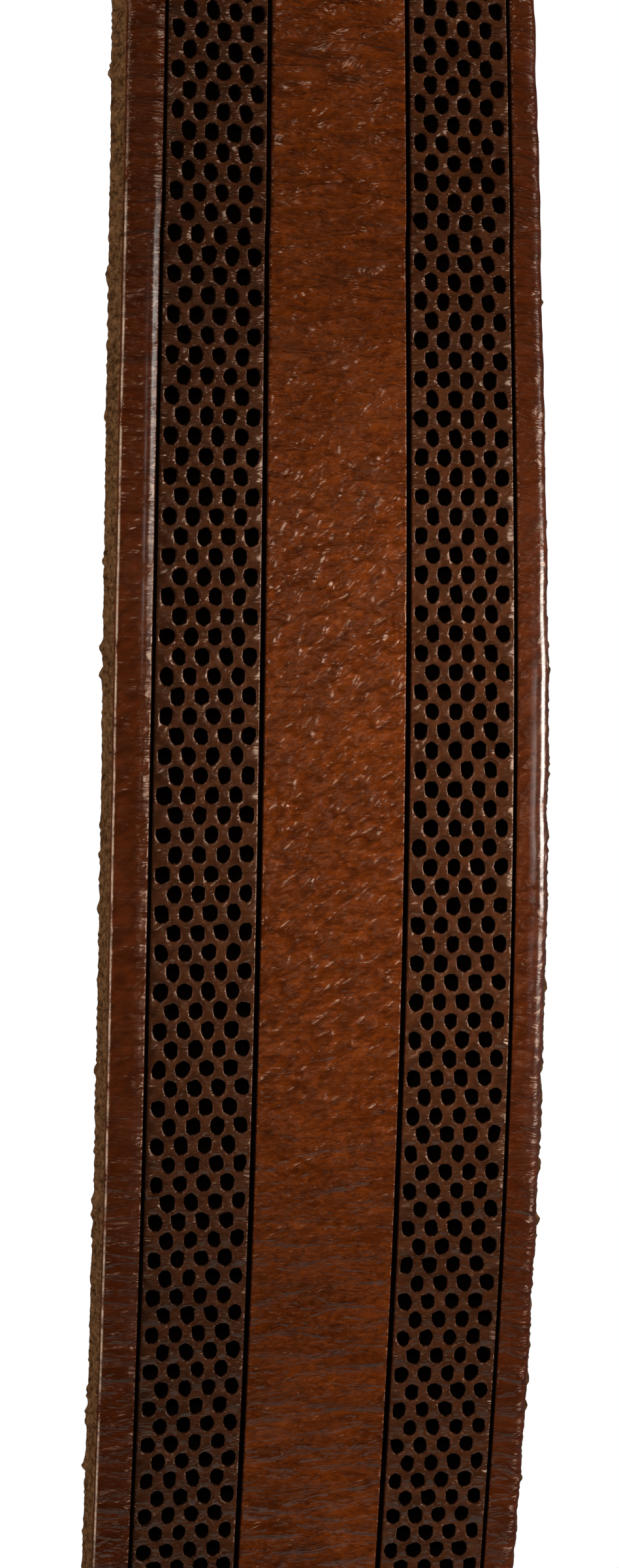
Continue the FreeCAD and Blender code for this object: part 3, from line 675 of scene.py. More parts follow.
tail_patch = leaf("patch_tail_ear", patch_columns, patch_rows, [(0.0, 0.0, BUTTON_HOLE, SLIT)],
                  slot_width(PATCH_RADIUS, PATCH_LENGTH, 0.0), PATCH_THICK, lay_patch, bevel=0.3)

# %% [markdown]
# ### Folded leaves
# The chape and the tail are folded round the ring. A fold is a line seen from the side: down the front
# leaf, round the wire and up the back one. The leather is laid along that line with its grain outside.

# %% Following a fold
def fold_line(corners):
    """A line through the given points, resampled every half millimetre and eased at its corners."""
    points = []
    for start, end in zip(corners, corners[1:]):
        count = max(round((end - start).length / 0.5), 1)
        points += [start.lerp(end, step / count) for step in range(count)]
    points.append(corners[-1])
    for _ in range(4):
        eased = [(before + 2 * point + after) / 4
                 for before, point, after in zip(points, points[1:], points[2:])]
        points = [points[0]] + eased + [points[-1]]
    return points


def arc(centre, radius, first, last, steps=18):
    """Points of an arc in the side view; the angle runs from behind the bar upwards."""
    angles = [math.radians(first + (last - first) * step / steps) for step in range(steps + 1)]
    return [centre + Vector((0, math.cos(angle), math.sin(angle))) * radius for angle in angles]


def length_of(points):
    return sum((after - before).length for before, after in zip(points, points[1:]))


def follow(points, along):
    """Place and direction at a distance along a line of points."""
    gone = 0.0
    for before, after in zip(points, points[1:]):
        step = (after - before).length
        if gone + step >= along or after is points[-1]:
            return before.lerp(after, (along - gone) / step), (after - before).normalized()
        gone += step


def lay_fold(points, grain_side):
    """Lay a leaf along a fold; its grain is a quarter turn from the way it runs."""
    def lay(place, along, height):
        spot, way = follow(points, along)
        normal = Vector((0, way.z, -way.y)) * grain_side
        return spot + Vector((place * grain_side, 0, 0)) + normal * height
    return lay


# %% Chape
RING_HEIGHT, RING_PITCH = -782.0, 14.0
FOLD_RADIUS = 1.9
CHAPE_THICK, CHAPE_HALF, CHAPE_LENGTH, CHAPE_CORNER = 2.2, 11.0, 47.0, 7.0
upper_bar = Vector((0, FRONT_DEPTH, RING_HEIGHT))
outer = FOLD_RADIUS + CHAPE_THICK
chape_line = fold_line([upper_bar + Vector((0, -outer, CHAPE_LENGTH))] + arc(upper_bar, outer, 180, 360)
                       + [upper_bar + Vector((0, outer, CHAPE_LENGTH))])
chape_total = length_of(chape_line)


def chape_width(along):
    return rounded(CHAPE_HALF, CHAPE_CORNER, min(along, chape_total - along))


chape_ends = [0.0, 0.5, 1.4, 2.6, 4.2, 7.0]
chape_fold = [CHAPE_LENGTH - 3 + (chape_total - 2 * CHAPE_LENGTH + 6) * step / 22 for step in range(23)]
chape_rows = sorted(set(chape_ends + [chape_total - row for row in chape_ends] + chape_fold
                        + lines_for(7.0, CHAPE_LENGTH - 3, 3.7, [])
                        + lines_for(chape_total - CHAPE_LENGTH + 3, chape_total - 7.0, 3.7, [])))
chape_rows = [row for row, after in zip(chape_rows, chape_rows[1:] + [1e9]) if after - row > 0.2]
chape = leaf("chape_folded", lines_for(-CHAPE_HALF, CHAPE_HALF, 2.2, []), chape_rows, [], chape_width,
             CHAPE_THICK, lay_fold(chape_line, 1.0))

# %% [markdown]
# ### Tail
# The tail hangs from the ring's lower bar. Its front leaf widens into the front ear, its back leaf is
# shorter, and both have the same row of holes: two of them hold the screws, the rest are for making
# the strap shorter or longer.

# %% Tail
TAIL_THICK, TAIL_HALF, TAIL_EAR, TAIL_CORNER = 2.4, 11.0, 17.0, 5.0
BACK_LEAF = 104.0
NECK = 9.0
lower_bar = Vector((0, FRONT_DEPTH, RING_HEIGHT - RING_PITCH))
tail_outer = FOLD_RADIUS + TAIL_THICK
leaf_outer = LEAF_GAP + TAIL_THICK
lean_in = math.degrees(math.acos(tail_outer / math.hypot(leaf_outer, NECK)) - math.atan2(NECK, leaf_outer))
tail_line = fold_line([Vector((0, FRONT_DEPTH - leaf_outer, TAIL_HOLE - TAIL_EAR)),
                       lower_bar + Vector((0, -leaf_outer, -NECK))]
                      + arc(lower_bar, tail_outer, 180 - lean_in, lean_in, 24)
                      + [lower_bar + Vector((0, leaf_outer, -NECK)),
                         lower_bar + Vector((0, leaf_outer, -BACK_LEAF))])
tail_total = length_of(tail_line)
front_length = lower_bar.z - NECK - (TAIL_HOLE - TAIL_EAR)


def tail_width(along):
    """A half circle, the ear, smooth shoulders, and then the strip."""
    if along < TAIL_EAR:
        return math.sqrt(max(TAIL_EAR ** 2 - (TAIL_EAR - along) ** 2, 0.0))
    if tail_total - along < TAIL_CORNER:
        return rounded(TAIL_HALF, TAIL_CORNER, tail_total - along)
    shoulder = ease((along - 2 * TAIL_EAR - 1.0) / 14.0)
    return TAIL_EAR + (TAIL_HALF - TAIL_EAR) * shoulder


ADJUST_ROWS = [-830.0 - 25.0 * step for step in range(5)]
front_rows = [row - (TAIL_HOLE - TAIL_EAR) for row in ADJUST_ROWS]
back_rows = [tail_total - (row - (lower_bar.z - BACK_LEAF)) for row in ADJUST_ROWS[:3]]
fold_start, fold_end = front_length - 3.0, tail_total - (BACK_LEAF - NECK) + 3.0
tail_rows = round_rows(0.0, TAIL_EAR, 1)[:-4] + [9.0, TAIL_EAR, 31.5, 34.0, 36.0]
tail_rows += lines_for(38.0, fold_start, 3.2, [(row, 4.2) for row in front_rows if row > 42])
tail_rows += [fold_start + (fold_end - fold_start) * step / 44 for step in range(1, 44)]
tail_rows += lines_for(fold_end, tail_total - TAIL_CORNER, 3.2, [(row, 4.2) for row in back_rows])
tail_rows += [tail_total - 3.4, tail_total - 1.9, tail_total - 0.8, tail_total - 0.15]
tail_holes = [(0.0, TAIL_EAR, BUTTON_HOLE, SLIT)]
tail_holes += [(0.0, row, SCREW_HOLE, 0.0) for row in front_rows + back_rows]
tail_rows = sorted(set(tail_rows) | {row for _, row, _, _ in tail_holes})
tail_columns = lines_for(-TAIL_EAR, TAIL_EAR, 2.6, [(0.0, 6.8)])
tail = leaf("tail_folded", tail_columns, tail_rows, tail_holes, tail_width, TAIL_THICK,
            lay_fold(tail_line, -1.0))

# %% [markdown]
# ### Keeper
# A narrow loop of the same leather keeps the two leaves together; its ends meet behind, under a staple.

# %% Keeper
KEEPER_HEIGHT, KEEPER_WALL, KEEPER_ROOM, KEEPER_CENTRE = 12.0, 1.6, 0.35, -880.0
keeper_x, keeper_y = TAIL_HALF + KEEPER_ROOM + KEEPER_WALL, leaf_outer + KEEPER_ROOM + KEEPER_WALL


def keeper_line():
    """Round the outside of the keeper, starting and ending in the middle of its back."""
    points = [Vector((0.06, keeper_y, 0))]
    for x, y, first in ((1, 1, 90), (1, -1, 0), (-1, -1, -90), (-1, 1, -180)):
        centre = Vector((x * (keeper_x - KEEPER_WALL), y * (keeper_y - KEEPER_WALL), 0))
        for step in range(9):
            angle = math.radians(first - step * 90 / 8)
            points.append(centre + Vector((math.cos(angle), math.sin(angle), 0)) * KEEPER_WALL)
    points.append(Vector((-0.06, keeper_y, 0)))
    return fold_line(points)


round_keeper = keeper_line()
keeper_total = length_of(round_keeper)


def lay_keeper(place, along, height):
    spot, way = follow(round_keeper, along)
    outward = Vector((-way.y, way.x, 0))
    return Vector((0, FRONT_DEPTH, KEEPER_CENTRE + place)) + spot + outward * height


keeper = leaf("keeper_loop", lines_for(-KEEPER_HEIGHT / 2, KEEPER_HEIGHT / 2, 2.0, []),
              lines_for(0.0, keeper_total, 0.7, []), [], lambda along: KEEPER_HEIGHT / 2, KEEPER_WALL,
              lay_keeper, bevel=0.3)

# %% [markdown]
# ## Stitching
# Waxed thread in saddle stitch: on each face one sees short straight lengths whose ends dive into the
# leather. Each is a rod with round ends, half sunk in the leather.

# %% Stitches
THREAD, STITCH_LENGTH, STITCH_PITCH = 0.4, 3.2, 4.0
EAR_MARGIN, LEAF_MARGIN = 3.5, 2.5
EAR_STITCH_TOP, PATCH_STITCH_TOP = -40.0, 20.0
CHAPE_STITCH_START, CHAPE_STITCHES = -763.0, 6


def stitches(name, points, faces):
    """Short rods of thread along a route, on each face given by its depth."""
    mesh = bmesh.new()
    wind = mesh.verts.layers.float.new("wind")
    for (x, z), (dx, dz) in points:
        for depth in faces:
            turn = Vector((dx, 0, dz)).to_track_quat("Z", "Y").to_matrix().to_4x4()
            made = bmesh.ops.create_uvsphere(mesh, u_segments=10, v_segments=8, radius=THREAD)["verts"]
            for vertex in made:
                if abs(vertex.co.z) > THREAD * 0.1:
                    vertex.co.z += math.copysign(STITCH_LENGTH / 2 - THREAD, vertex.co.z)
                vertex[wind] = math.atan2(vertex.co.y, vertex.co.x) / math.tau + vertex.co.z / 1.1
            bmesh.ops.transform(mesh, matrix=turn, verts=made)
            bmesh.ops.transform(mesh, matrix=Matrix.Translation(Vector((x, depth, z))), verts=made)
    bmesh.ops.scale(mesh, vec=Vector((MM, MM, MM)), verts=mesh.verts)
    smooth(mesh)
    print(f"{name}: {len(points) * len(faces)} stitches")
    return finished(name, mesh)


def u_route(half, top, centre):
    """Down one side, round a half circle and up the other side."""
    straight = top - centre
    total = 2 * straight + math.pi * half
    count = int(total // STITCH_PITCH)
    route = []
    for index in range(count):
        run = (index + 0.5) * total / count
        if run < straight:
            route.append(((-half, top - run), (0.0, -1.0)))
        elif run > total - straight:
            route.append(((half, top - (total - run)), (0.0, 1.0)))
        else:
            angle = math.pi + (run - straight) / half
            route.append(((half * math.cos(angle), centre + half * math.sin(angle)),
                          (-math.sin(angle), math.cos(angle))))
    return route


BAND_FACE = TOP_HINGE.y - THICK / 2
ear_thread = stitches("thread_rear_ear", u_route(EAR_RADIUS - EAR_MARGIN, EAR_STITCH_TOP, -EAR_LENGTH),
                      [BAND_FACE - THREAD * 0.5, EAR_THICK / 2 + THREAD * 0.4])
chape_route = [((edge * (CHAPE_HALF - LEAF_MARGIN), CHAPE_STITCH_START + STITCH_PITCH * step), (0.0, 1.0))
               for edge in (-1, 1) for step in range(CHAPE_STITCHES)]
chape_thread = stitches("thread_chape", chape_route,
                        [FRONT_DEPTH - outer - THREAD * 0.4, FRONT_DEPTH + outer + THREAD * 0.4])
patch_route = [((x, TAIL_HOLE + z), way)
               for (x, z), way in u_route(PATCH_RADIUS - LEAF_MARGIN, PATCH_STITCH_TOP, 0.0)]
tail_thread = stitches("thread_tail_ear", patch_route,
                       [FRONT_DEPTH - leaf_outer - THREAD * 0.4,
                        FRONT_DEPTH - LEAF_GAP + PATCH_THICK + THREAD * 0.4])

# %% [markdown]
# ## The leather
# The strip was dyed a warm brown by hand, so the colour is uneven at every size: cloudy patches, a
# fibrous fleck, and darker dye wherever the plate pressed, with painted shade that takes the pits and
# lines nearly to black and follows the creases and grain. The plain centre was rubbed clean and stays
# brightest, the pitted bands are dull and dark, and the margins are the darkest and the most polished,
# because hands and clothes rub them. Painted light makes the middle stretch paler, painted shade makes
# the left side darker, and the edge is worn pale with a painted highlight. Bare fibre shows on the cut
# edge and on the flesh side.

# %% A leather material
def set_values(settings):
    for node, values in settings.items():
        for socket, value in values.items():
            node.inputs[socket].default_value = value


def lay_out(nodes):
    """Place the nodes of each frame in a row, in the order they were made, one row below another."""
    rows = {}
    for node in nodes:
        if node.type != "FRAME":
            rows.setdefault(node.parent, []).append(node)
    for down, row in enumerate(rows.values()):
        for across, node in enumerate(row):
            node.location = (240 * across, -420 * down)


def leather(name, light_tone, dark_tone, band_tone, margin_tone, raw_light, raw_dark, wear_and_highlight_tone,
            crease_depth):
    """Dyed leather, with tones for the pitted bands, the margins, the bare fibre and the edge, worn pale and
    given a painted highlight.
    """
    material = bpy.data.materials.new(name)
    material.use_nodes = True
    tree = material.node_tree
    nodes, links = tree.nodes, tree.links
    nodes.clear()

    place_frame = nodes.new("NodeFrame")
    place_frame.label = "Place on the flat leather"
    notes = {}
    for label, layer in (("Flat place", "flat_place"), ("How deep it was pressed", "pressed"),
                         ("Bare fibre", "cut_edge"), ("The worn edge", "worn"),
                         ("The rolled side", "burnished")):
        note = nodes.new("ShaderNodeAttribute")
        note.label, note.parent, note.attribute_name = label, place_frame, layer
        notes[layer] = note
    place, pressed, cut, worn, burnished = notes.values()
    split = nodes.new("ShaderNodeSeparateXYZ")
    split.label, split.parent = "Across and along", place_frame
    links.new(place.outputs["Vector"], split.inputs["Vector"])
    away = nodes.new("ShaderNodeMath")
    away.label, away.parent = "Distance from the middle", place_frame
    away.operation = "ABSOLUTE"
    links.new(split.outputs["X"], away.inputs[0])

    zone_frame = nodes.new("NodeFrame")
    zone_frame.label = "Centre, pitted bands and margins"
    zones = []
    for label, measure in (("Outside the inner line", away.outputs["Value"]),
                           ("Outside the outer line", away.outputs["Value"]),
                           ("Rubbed from here", split.outputs["Y"]), ("Rubbed to here", split.outputs["Y"])):
        zone = nodes.new("ShaderNodeMapRange")
        zone.label, zone.parent, zone.interpolation_type = label, zone_frame, "SMOOTHSTEP"
        links.new(measure, zone.inputs["Value"])
        zones.append(zone)
    band_in, margin_in, rubbed_from, rubbed_to = zones
    shoulder_zone = nodes.new("ShaderNodeMath")
    shoulder_zone.label, shoulder_zone.parent = "On the shoulder", zone_frame
    shoulder_zone.operation = "MULTIPLY"
    links.new(rubbed_from.outputs["Result"], shoulder_zone.inputs[0])
    links.new(rubbed_to.outputs["Result"], shoulder_zone.inputs[1])
    changes = []
    # painted light: the first of these makes the colour paler over the middle stretch and darker beyond it
    for label in ("Painted light on the shoulder", "Rubbed to a shine", "Creases pressed flat", "Grain raised"):
        change = nodes.new("ShaderNodeMapRange")
        change.label, change.parent = label, zone_frame
        links.new(shoulder_zone.outputs["Value"], change.inputs["Value"])
        changes.append(change)
    shoulder_painted_light, rubbed_shine, crease_share, pebble_share = changes
    # painted shade: the colour of the left side of the strap is darkened
    left_side_shade = nodes.new("ShaderNodeMapRange")
    left_side_shade.label, left_side_shade.parent = "Painted shade on the left side", zone_frame
    links.new(split.outputs["X"], left_side_shade.inputs["Value"])

    dye_frame = nodes.new("NodeFrame")
    dye_frame.label = "Uneven dye"
    cloud = nodes.new("ShaderNodeTexNoise")
    cloud.label, cloud.parent = "Clouds of dye", dye_frame
    links.new(place.outputs["Vector"], cloud.inputs["Vector"])
    stretch = nodes.new("ShaderNodeMapping")
    stretch.label, stretch.parent = "Fibres lie across", dye_frame
    links.new(place.outputs["Vector"], stretch.inputs["Vector"])
    fibre = nodes.new("ShaderNodeTexNoise")
    fibre.label, fibre.parent = "Fibrous fleck", dye_frame
    links.new(stretch.outputs["Vector"], fibre.inputs["Vector"])
    both = nodes.new("ShaderNodeMath")
    both.label, both.parent = "Clouds and flecks together", dye_frame
    both.operation = "MULTIPLY_ADD"
    links.new(cloud.outputs["Fac"], both.inputs[0])
    links.new(fibre.outputs["Fac"], both.inputs[2])
    tones = nodes.new("ShaderNodeValToRGB")
    tones.label, tones.parent = "Dye tones", dye_frame
    tones.color_ramp.elements[0].position = 0.58
    tones.color_ramp.elements[0].color = (*dark_tone, 1)
    tones.color_ramp.elements[1].position = 0.98
    tones.color_ramp.elements[1].color = (*light_tone, 1)
    links.new(both.outputs["Value"], tones.inputs["Fac"])

    # the hollows here are darkened by dye together with painted shade
    worn_frame = nodes.new("NodeFrame")
    worn_frame.label = "Dull bands, dark margins, dyed hollows"
    fleck = nodes.new("ShaderNodeMapRange")
    fleck.label, fleck.parent = "Fleck strength", worn_frame
    links.new(fibre.outputs["Fac"], fleck.inputs["Value"])
    skin = tones.outputs["Color"]
    for label, zone, tone in (("Pitted band", band_in, band_tone), ("Margin", margin_in, margin_tone)):
        over = nodes.new("ShaderNodeMix")
        over.label, over.parent, over.data_type = label, worn_frame, "RGBA"
        over.inputs["B"].default_value = (*tone, 1)
        links.new(zone.outputs["Result"], over.inputs["Factor"])
        links.new(skin, over.inputs["A"])
        skin = over.outputs["Result"]
    # painted shade on the left side times painted light on the middle stretch
    side_shade_and_shoulder_light = nodes.new("ShaderNodeMath")
    side_shade_and_shoulder_light.label, side_shade_and_shoulder_light.parent = "Darker on one side", worn_frame
    side_shade_and_shoulder_light.operation = "MULTIPLY"
    links.new(shoulder_painted_light.outputs["Result"], side_shade_and_shoulder_light.inputs[0])
    links.new(left_side_shade.outputs["Result"], side_shade_and_shoulder_light.inputs[1])
    # the fibrous fleck together with that painted light and shade
    strength = nodes.new("ShaderNodeMath")
    strength.label, strength.parent = "Strength of colour", worn_frame
    strength.operation = "MULTIPLY"
    links.new(fleck.outputs["Result"], strength.inputs[0])
    links.new(side_shade_and_shoulder_light.outputs["Value"], strength.inputs[1])
    # the skin colour scaled by the fleck, painted light and painted shade
    fleck_and_painted_light_on_skin = nodes.new("ShaderNodeVectorMath")
    fleck_and_painted_light_on_skin.label, fleck_and_painted_light_on_skin.parent = "Fleck over all", worn_frame
    fleck_and_painted_light_on_skin.operation = "SCALE"
    links.new(skin, fleck_and_painted_light_on_skin.inputs[0])
    # painted shade with dye: where the plate pressed, the colour is mixed towards near black
    hollow = nodes.new("ShaderNodeMapRange")
    hollow.label, hollow.parent = "Dye and painted shade in hollows", worn_frame
    links.new(pressed.outputs["Fac"], hollow.inputs["Value"])
    dyed = nodes.new("ShaderNodeMix")
    dyed.label, dyed.parent = "Hollows", worn_frame
    dyed.data_type = "RGBA"
    links.new(hollow.outputs["Result"], dyed.inputs["Factor"])
    links.new(fleck_and_painted_light_on_skin.outputs["Vector"], dyed.inputs["A"])

    # wear and painted highlight: a pale tone along the edge of the grain face
    arris_frame = nodes.new("NodeFrame")
    arris_frame.label = "Worn pale and painted highlight along the edge"
    broken = nodes.new("ShaderNodeTexNoise")
    broken.label, broken.parent = "Worn here and there", arris_frame
    links.new(place.outputs["Vector"], broken.inputs["Vector"])
    bare = nodes.new("ShaderNodeMapRange")
    bare.label, bare.parent = "Worn through", arris_frame
    links.new(broken.outputs["Fac"], bare.inputs["Value"])
    pale = nodes.new("ShaderNodeMath")
    pale.label, pale.parent = "Only on the edge", arris_frame
    pale.operation = "MULTIPLY"
    links.new(worn.outputs["Fac"], pale.inputs[0])
    links.new(bare.outputs["Result"], pale.inputs[1])
    edge_wear_and_highlight = nodes.new("ShaderNodeMix")
    edge_wear_and_highlight.label, edge_wear_and_highlight.parent = "Pale edge", arris_frame
    edge_wear_and_highlight.data_type = "RGBA"
    links.new(pale.outputs["Value"], edge_wear_and_highlight.inputs["Factor"])
    links.new(dyed.outputs["Result"], edge_wear_and_highlight.inputs["A"])

    raw_frame = nodes.new("NodeFrame")
    raw_frame.label = "Bare fibre"
    tuft = nodes.new("ShaderNodeTexNoise")
    tuft.label, tuft.parent = "Tufts", raw_frame
    links.new(place.outputs["Vector"], tuft.inputs["Vector"])
    raw_tones = nodes.new("ShaderNodeValToRGB")
    raw_tones.label, raw_tones.parent = "Fibre tones", raw_frame
    raw_tones.color_ramp.elements[0].position = 0.36
    raw_tones.color_ramp.elements[0].color = (*raw_dark, 1)
    raw_tones.color_ramp.elements[1].position = 0.68
    raw_tones.color_ramp.elements[1].color = (*raw_light, 1)
    links.new(tuft.outputs["Fac"], raw_tones.inputs["Fac"])
    colour = nodes.new("ShaderNodeMix")
    colour.label, colour.parent = "Skin or fibre", raw_frame
    colour.data_type = "RGBA"
    links.new(cut.outputs["Fac"], colour.inputs["Factor"])
    links.new(edge_wear_and_highlight.outputs["Result"], colour.inputs["A"])
    links.new(raw_tones.outputs["Color"], colour.inputs["B"])

    polish_frame = nodes.new("NodeFrame")
    polish_frame.label = "Polish"
    rubbed = nodes.new("ShaderNodeTexNoise")
    rubbed.label, rubbed.parent = "Rubbed patches", polish_frame
    links.new(place.outputs["Vector"], rubbed.inputs["Vector"])
    sheen = nodes.new("ShaderNodeMapRange")
    sheen.label, sheen.parent = "Skin roughness", polish_frame
    links.new(rubbed.outputs["Fac"], sheen.inputs["Value"])
    dull = nodes.new("ShaderNodeMath")
    dull.label, dull.parent = "Hollows and fibre are dull", polish_frame
    dull.operation = "MAXIMUM"
    links.new(hollow.outputs["Result"], dull.inputs[0])
    links.new(cut.outputs["Fac"], dull.inputs[1])
    rough = nodes.new("ShaderNodeMix")
    rough.label, rough.parent = "Roughness", polish_frame
    rough.data_type = "FLOAT"
    links.new(dull.outputs["Value"], rough.inputs["Factor"])
    links.new(sheen.outputs["Result"], rough.inputs["A"])
    shine = nodes.new("ShaderNodeMapRange")
    shine.label, shine.parent = "No shine on hollows and fibre", polish_frame
    links.new(rubbed_shine.outputs["Result"], shine.inputs["To Min"])
    links.new(dull.outputs["Value"], shine.inputs["Value"])

    relief_frame = nodes.new("NodeFrame")
    relief_frame.label = "Creases and grain"
    crease_place = nodes.new("ShaderNodeMapping")
    crease_place.label, crease_place.parent = "Creases run across", relief_frame
    links.new(place.outputs["Vector"], crease_place.inputs["Vector"])
    crease = nodes.new("ShaderNodeTexNoise")
    crease.label, crease.parent = "Creases", relief_frame
    links.new(crease_place.outputs["Vector"], crease.inputs["Vector"])
    pebble_place = nodes.new("ShaderNodeMapping")
    pebble_place.label, pebble_place.parent = "Grain leans", relief_frame
    pebble_place.vector_type = "TEXTURE"
    links.new(place.outputs["Vector"], pebble_place.inputs["Vector"])
    pebble = nodes.new("ShaderNodeTexNoise")
    pebble.label, pebble.parent = "Pebbled grain", relief_frame
    links.new(pebble_place.outputs["Vector"], pebble.inputs["Vector"])
    lumps = nodes.new("ShaderNodeMix")
    lumps.label, lumps.parent = "Creases or grain", relief_frame
    lumps.data_type = "FLOAT"
    links.new(shoulder_zone.outputs["Value"], lumps.inputs["Factor"])
    links.new(crease.outputs["Fac"], lumps.inputs["A"])
    links.new(pebble.outputs["Fac"], lumps.inputs["B"])
    # painted shade and light: the colour darkens in the hollows of the creases and grain and brightens on
    # their tops
    relief_shade_and_light = nodes.new("ShaderNodeMapRange")
    relief_shade_and_light.label, relief_shade_and_light.parent = "Painted shade down in them", relief_frame
    links.new(lumps.outputs["Result"], relief_shade_and_light.inputs["Value"])
    # fleck, painted light and the painted shade of the relief together
    fleck_light_and_relief_shade = nodes.new("ShaderNodeMath")
    fleck_light_and_relief_shade.label, fleck_light_and_relief_shade.parent = "Tone with relief", relief_frame
    fleck_light_and_relief_shade.operation = "MULTIPLY"
    links.new(strength.outputs["Value"], fleck_light_and_relief_shade.inputs[0])
    links.new(relief_shade_and_light.outputs["Result"], fleck_light_and_relief_shade.inputs[1])
    links.new(fleck_light_and_relief_shade.outputs["Value"], fleck_and_painted_light_on_skin.inputs["Scale"])
    crease_bump = nodes.new("ShaderNodeBump")
    crease_bump.label, crease_bump.parent = "Crease relief", relief_frame
    links.new(crease_share.outputs["Result"], crease_bump.inputs["Strength"])
    links.new(crease.outputs["Fac"], crease_bump.inputs["Height"])
    pebble_bump = nodes.new("ShaderNodeBump")
    pebble_bump.label, pebble_bump.parent = "Grain relief", relief_frame
    pressed_flat = nodes.new("ShaderNodeMapRange")
    pressed_flat.label, pressed_flat.parent = "Flatter in the bands", relief_frame
    links.new(band_in.outputs["Result"], pressed_flat.inputs["Value"])
    grain_share = nodes.new("ShaderNodeMath")
    grain_share.label, grain_share.parent = "Grain left", relief_frame
    grain_share.operation = "MULTIPLY"
    links.new(pebble_share.outputs["Result"], grain_share.inputs[0])
    links.new(pressed_flat.outputs["Result"], grain_share.inputs[1])
    links.new(grain_share.outputs["Value"], pebble_bump.inputs["Strength"])
    links.new(pebble.outputs["Fac"], pebble_bump.inputs["Height"])
    links.new(crease_bump.outputs["Normal"], pebble_bump.inputs["Normal"])
    tuft_bump = nodes.new("ShaderNodeBump")
    tuft_bump.label, tuft_bump.parent = "Tuft relief", relief_frame
    links.new(cut.outputs["Fac"], tuft_bump.inputs["Strength"])
    links.new(tuft.outputs["Fac"], tuft_bump.inputs["Height"])
    links.new(pebble_bump.outputs["Normal"], tuft_bump.inputs["Normal"])

    wax_frame = nodes.new("NodeFrame")
    wax_frame.label = "Wax rubbed into the rolled side"
    patchy = nodes.new("ShaderNodeMapRange")
    patchy.label, patchy.parent = "Patchy wax", wax_frame
    links.new(broken.outputs["Fac"], patchy.inputs["Value"])
    wax = nodes.new("ShaderNodeMath")
    wax.label, wax.parent = "Wax left", wax_frame
    wax.operation = "MULTIPLY"
    links.new(burnished.outputs["Fac"], wax.inputs[0])
    links.new(patchy.outputs["Result"], wax.inputs[1])

    shader = nodes.new("ShaderNodeBsdfPrincipled")
    shader.label = "Leather"
    links.new(wax.outputs["Value"], shader.inputs["Coat Weight"])
    links.new(colour.outputs["Result"], shader.inputs["Base Color"])
    links.new(rough.outputs["Result"], shader.inputs["Roughness"])
    links.new(shine.outputs["Result"], shader.inputs["Specular IOR Level"])
    links.new(tuft_bump.outputs["Normal"], shader.inputs["Normal"])
    output = nodes.new("ShaderNodeOutputMaterial")
    output.label = "Surface"
    links.new(shader.outputs["BSDF"], output.inputs["Surface"])
    set_values({
        band_in: {"From Min": 0.0082, "From Max": 0.0088},
        margin_in: {"From Min": 0.0202, "From Max": 0.0208},
        rubbed_from: {"From Min": -0.062, "From Max": -0.018},
        rubbed_to: {"From Min": 0.022, "From Max": 0.060, "To Min": 1.0, "To Max": 0.0},
        # painted shade: the colour on the left side is scaled down to two thirds
        left_side_shade: {"From Min": -0.020, "From Max": 0.010, "To Min": 0.66, "To Max": 1.0},
        cloud: {"Scale": 95.0, "Detail": 5.0, "Roughness": 0.6},
        stretch: {"Scale": (850.0, 1600.0, 850.0)},
        fibre: {"Scale": 1.0, "Detail": 6.0, "Roughness": 0.68, "Distortion": 0.9},
        both: {1: 0.55},
        fleck: {"From Min": 0.3, "From Max": 0.75, "To Min": 0.76, "To Max": 1.28},
        # painted light: paler over the middle stretch, darker above and below it
        shoulder_painted_light: {"To Min": 0.76, "To Max": 1.12},
        hollow: {"From Min": 0.12, "From Max": 0.75},
        # painted shade with dye: nearly black in the pits and pressed lines
        dyed: {"B": (0.0018, 0.0004, 0.0002, 1)},
        broken: {"Scale": 240.0, "Detail": 6.0, "Roughness": 0.7},
        bare: {"From Min": 0.38, "From Max": 0.56},
        edge_wear_and_highlight: {"B": (*wear_and_highlight_tone, 1)},
        tuft: {"Scale": 1500.0, "Detail": 5.0, "Roughness": 0.75},
        rubbed: {"Scale": 160.0, "Detail": 4.0},
        sheen: {"From Min": 0.35, "From Max": 0.65, "To Min": 0.36, "To Max": 0.21},
        rough: {"B": 0.95},
        rubbed_shine: {"To Min": 0.26, "To Max": 0.50},
        shine: {"To Max": 0.02},
        crease_place: {"Scale": (170.0, 640.0, 170.0), "Rotation": (0.0, 0.0, 0.10)},
        crease: {"Scale": 1.0, "Detail": 3.0, "Distortion": 0.6},
        pebble_place: {"Rotation": (0.0, 0.0, -0.65), "Scale": (0.0024, 0.0013, 0.0020)},
        pebble: {"Scale": 1.0, "Detail": 1.2, "Roughness": 0.5, "Distortion": 0.4},
        # painted shade in the hollows of the relief, painted light on its tops
        relief_shade_and_light: {"From Min": 0.36, "From Max": 0.64, "To Min": 0.76, "To Max": 1.20},
        crease_share: {"To Min": 1.0, "To Max": 0.25},
        crease_bump: {"Distance": crease_depth},
        pebble_share: {"To Min": 0.22, "To Max": 1.0},
        pressed_flat: {"To Min": 1.0, "To Max": 0.45},
        pebble_bump: {"Distance": 0.0008},
        tuft_bump: {"Distance": 0.0005},
        patchy: {"From Min": 0.36, "From Max": 0.50},
        shader: {"Coat Roughness": 0.20, "Coat IOR": 1.6,
                 "IOR": 1.45, "Specular Tint": (1.0, 0.68, 0.48, 1)},
    })
    lay_out(nodes)
    return material


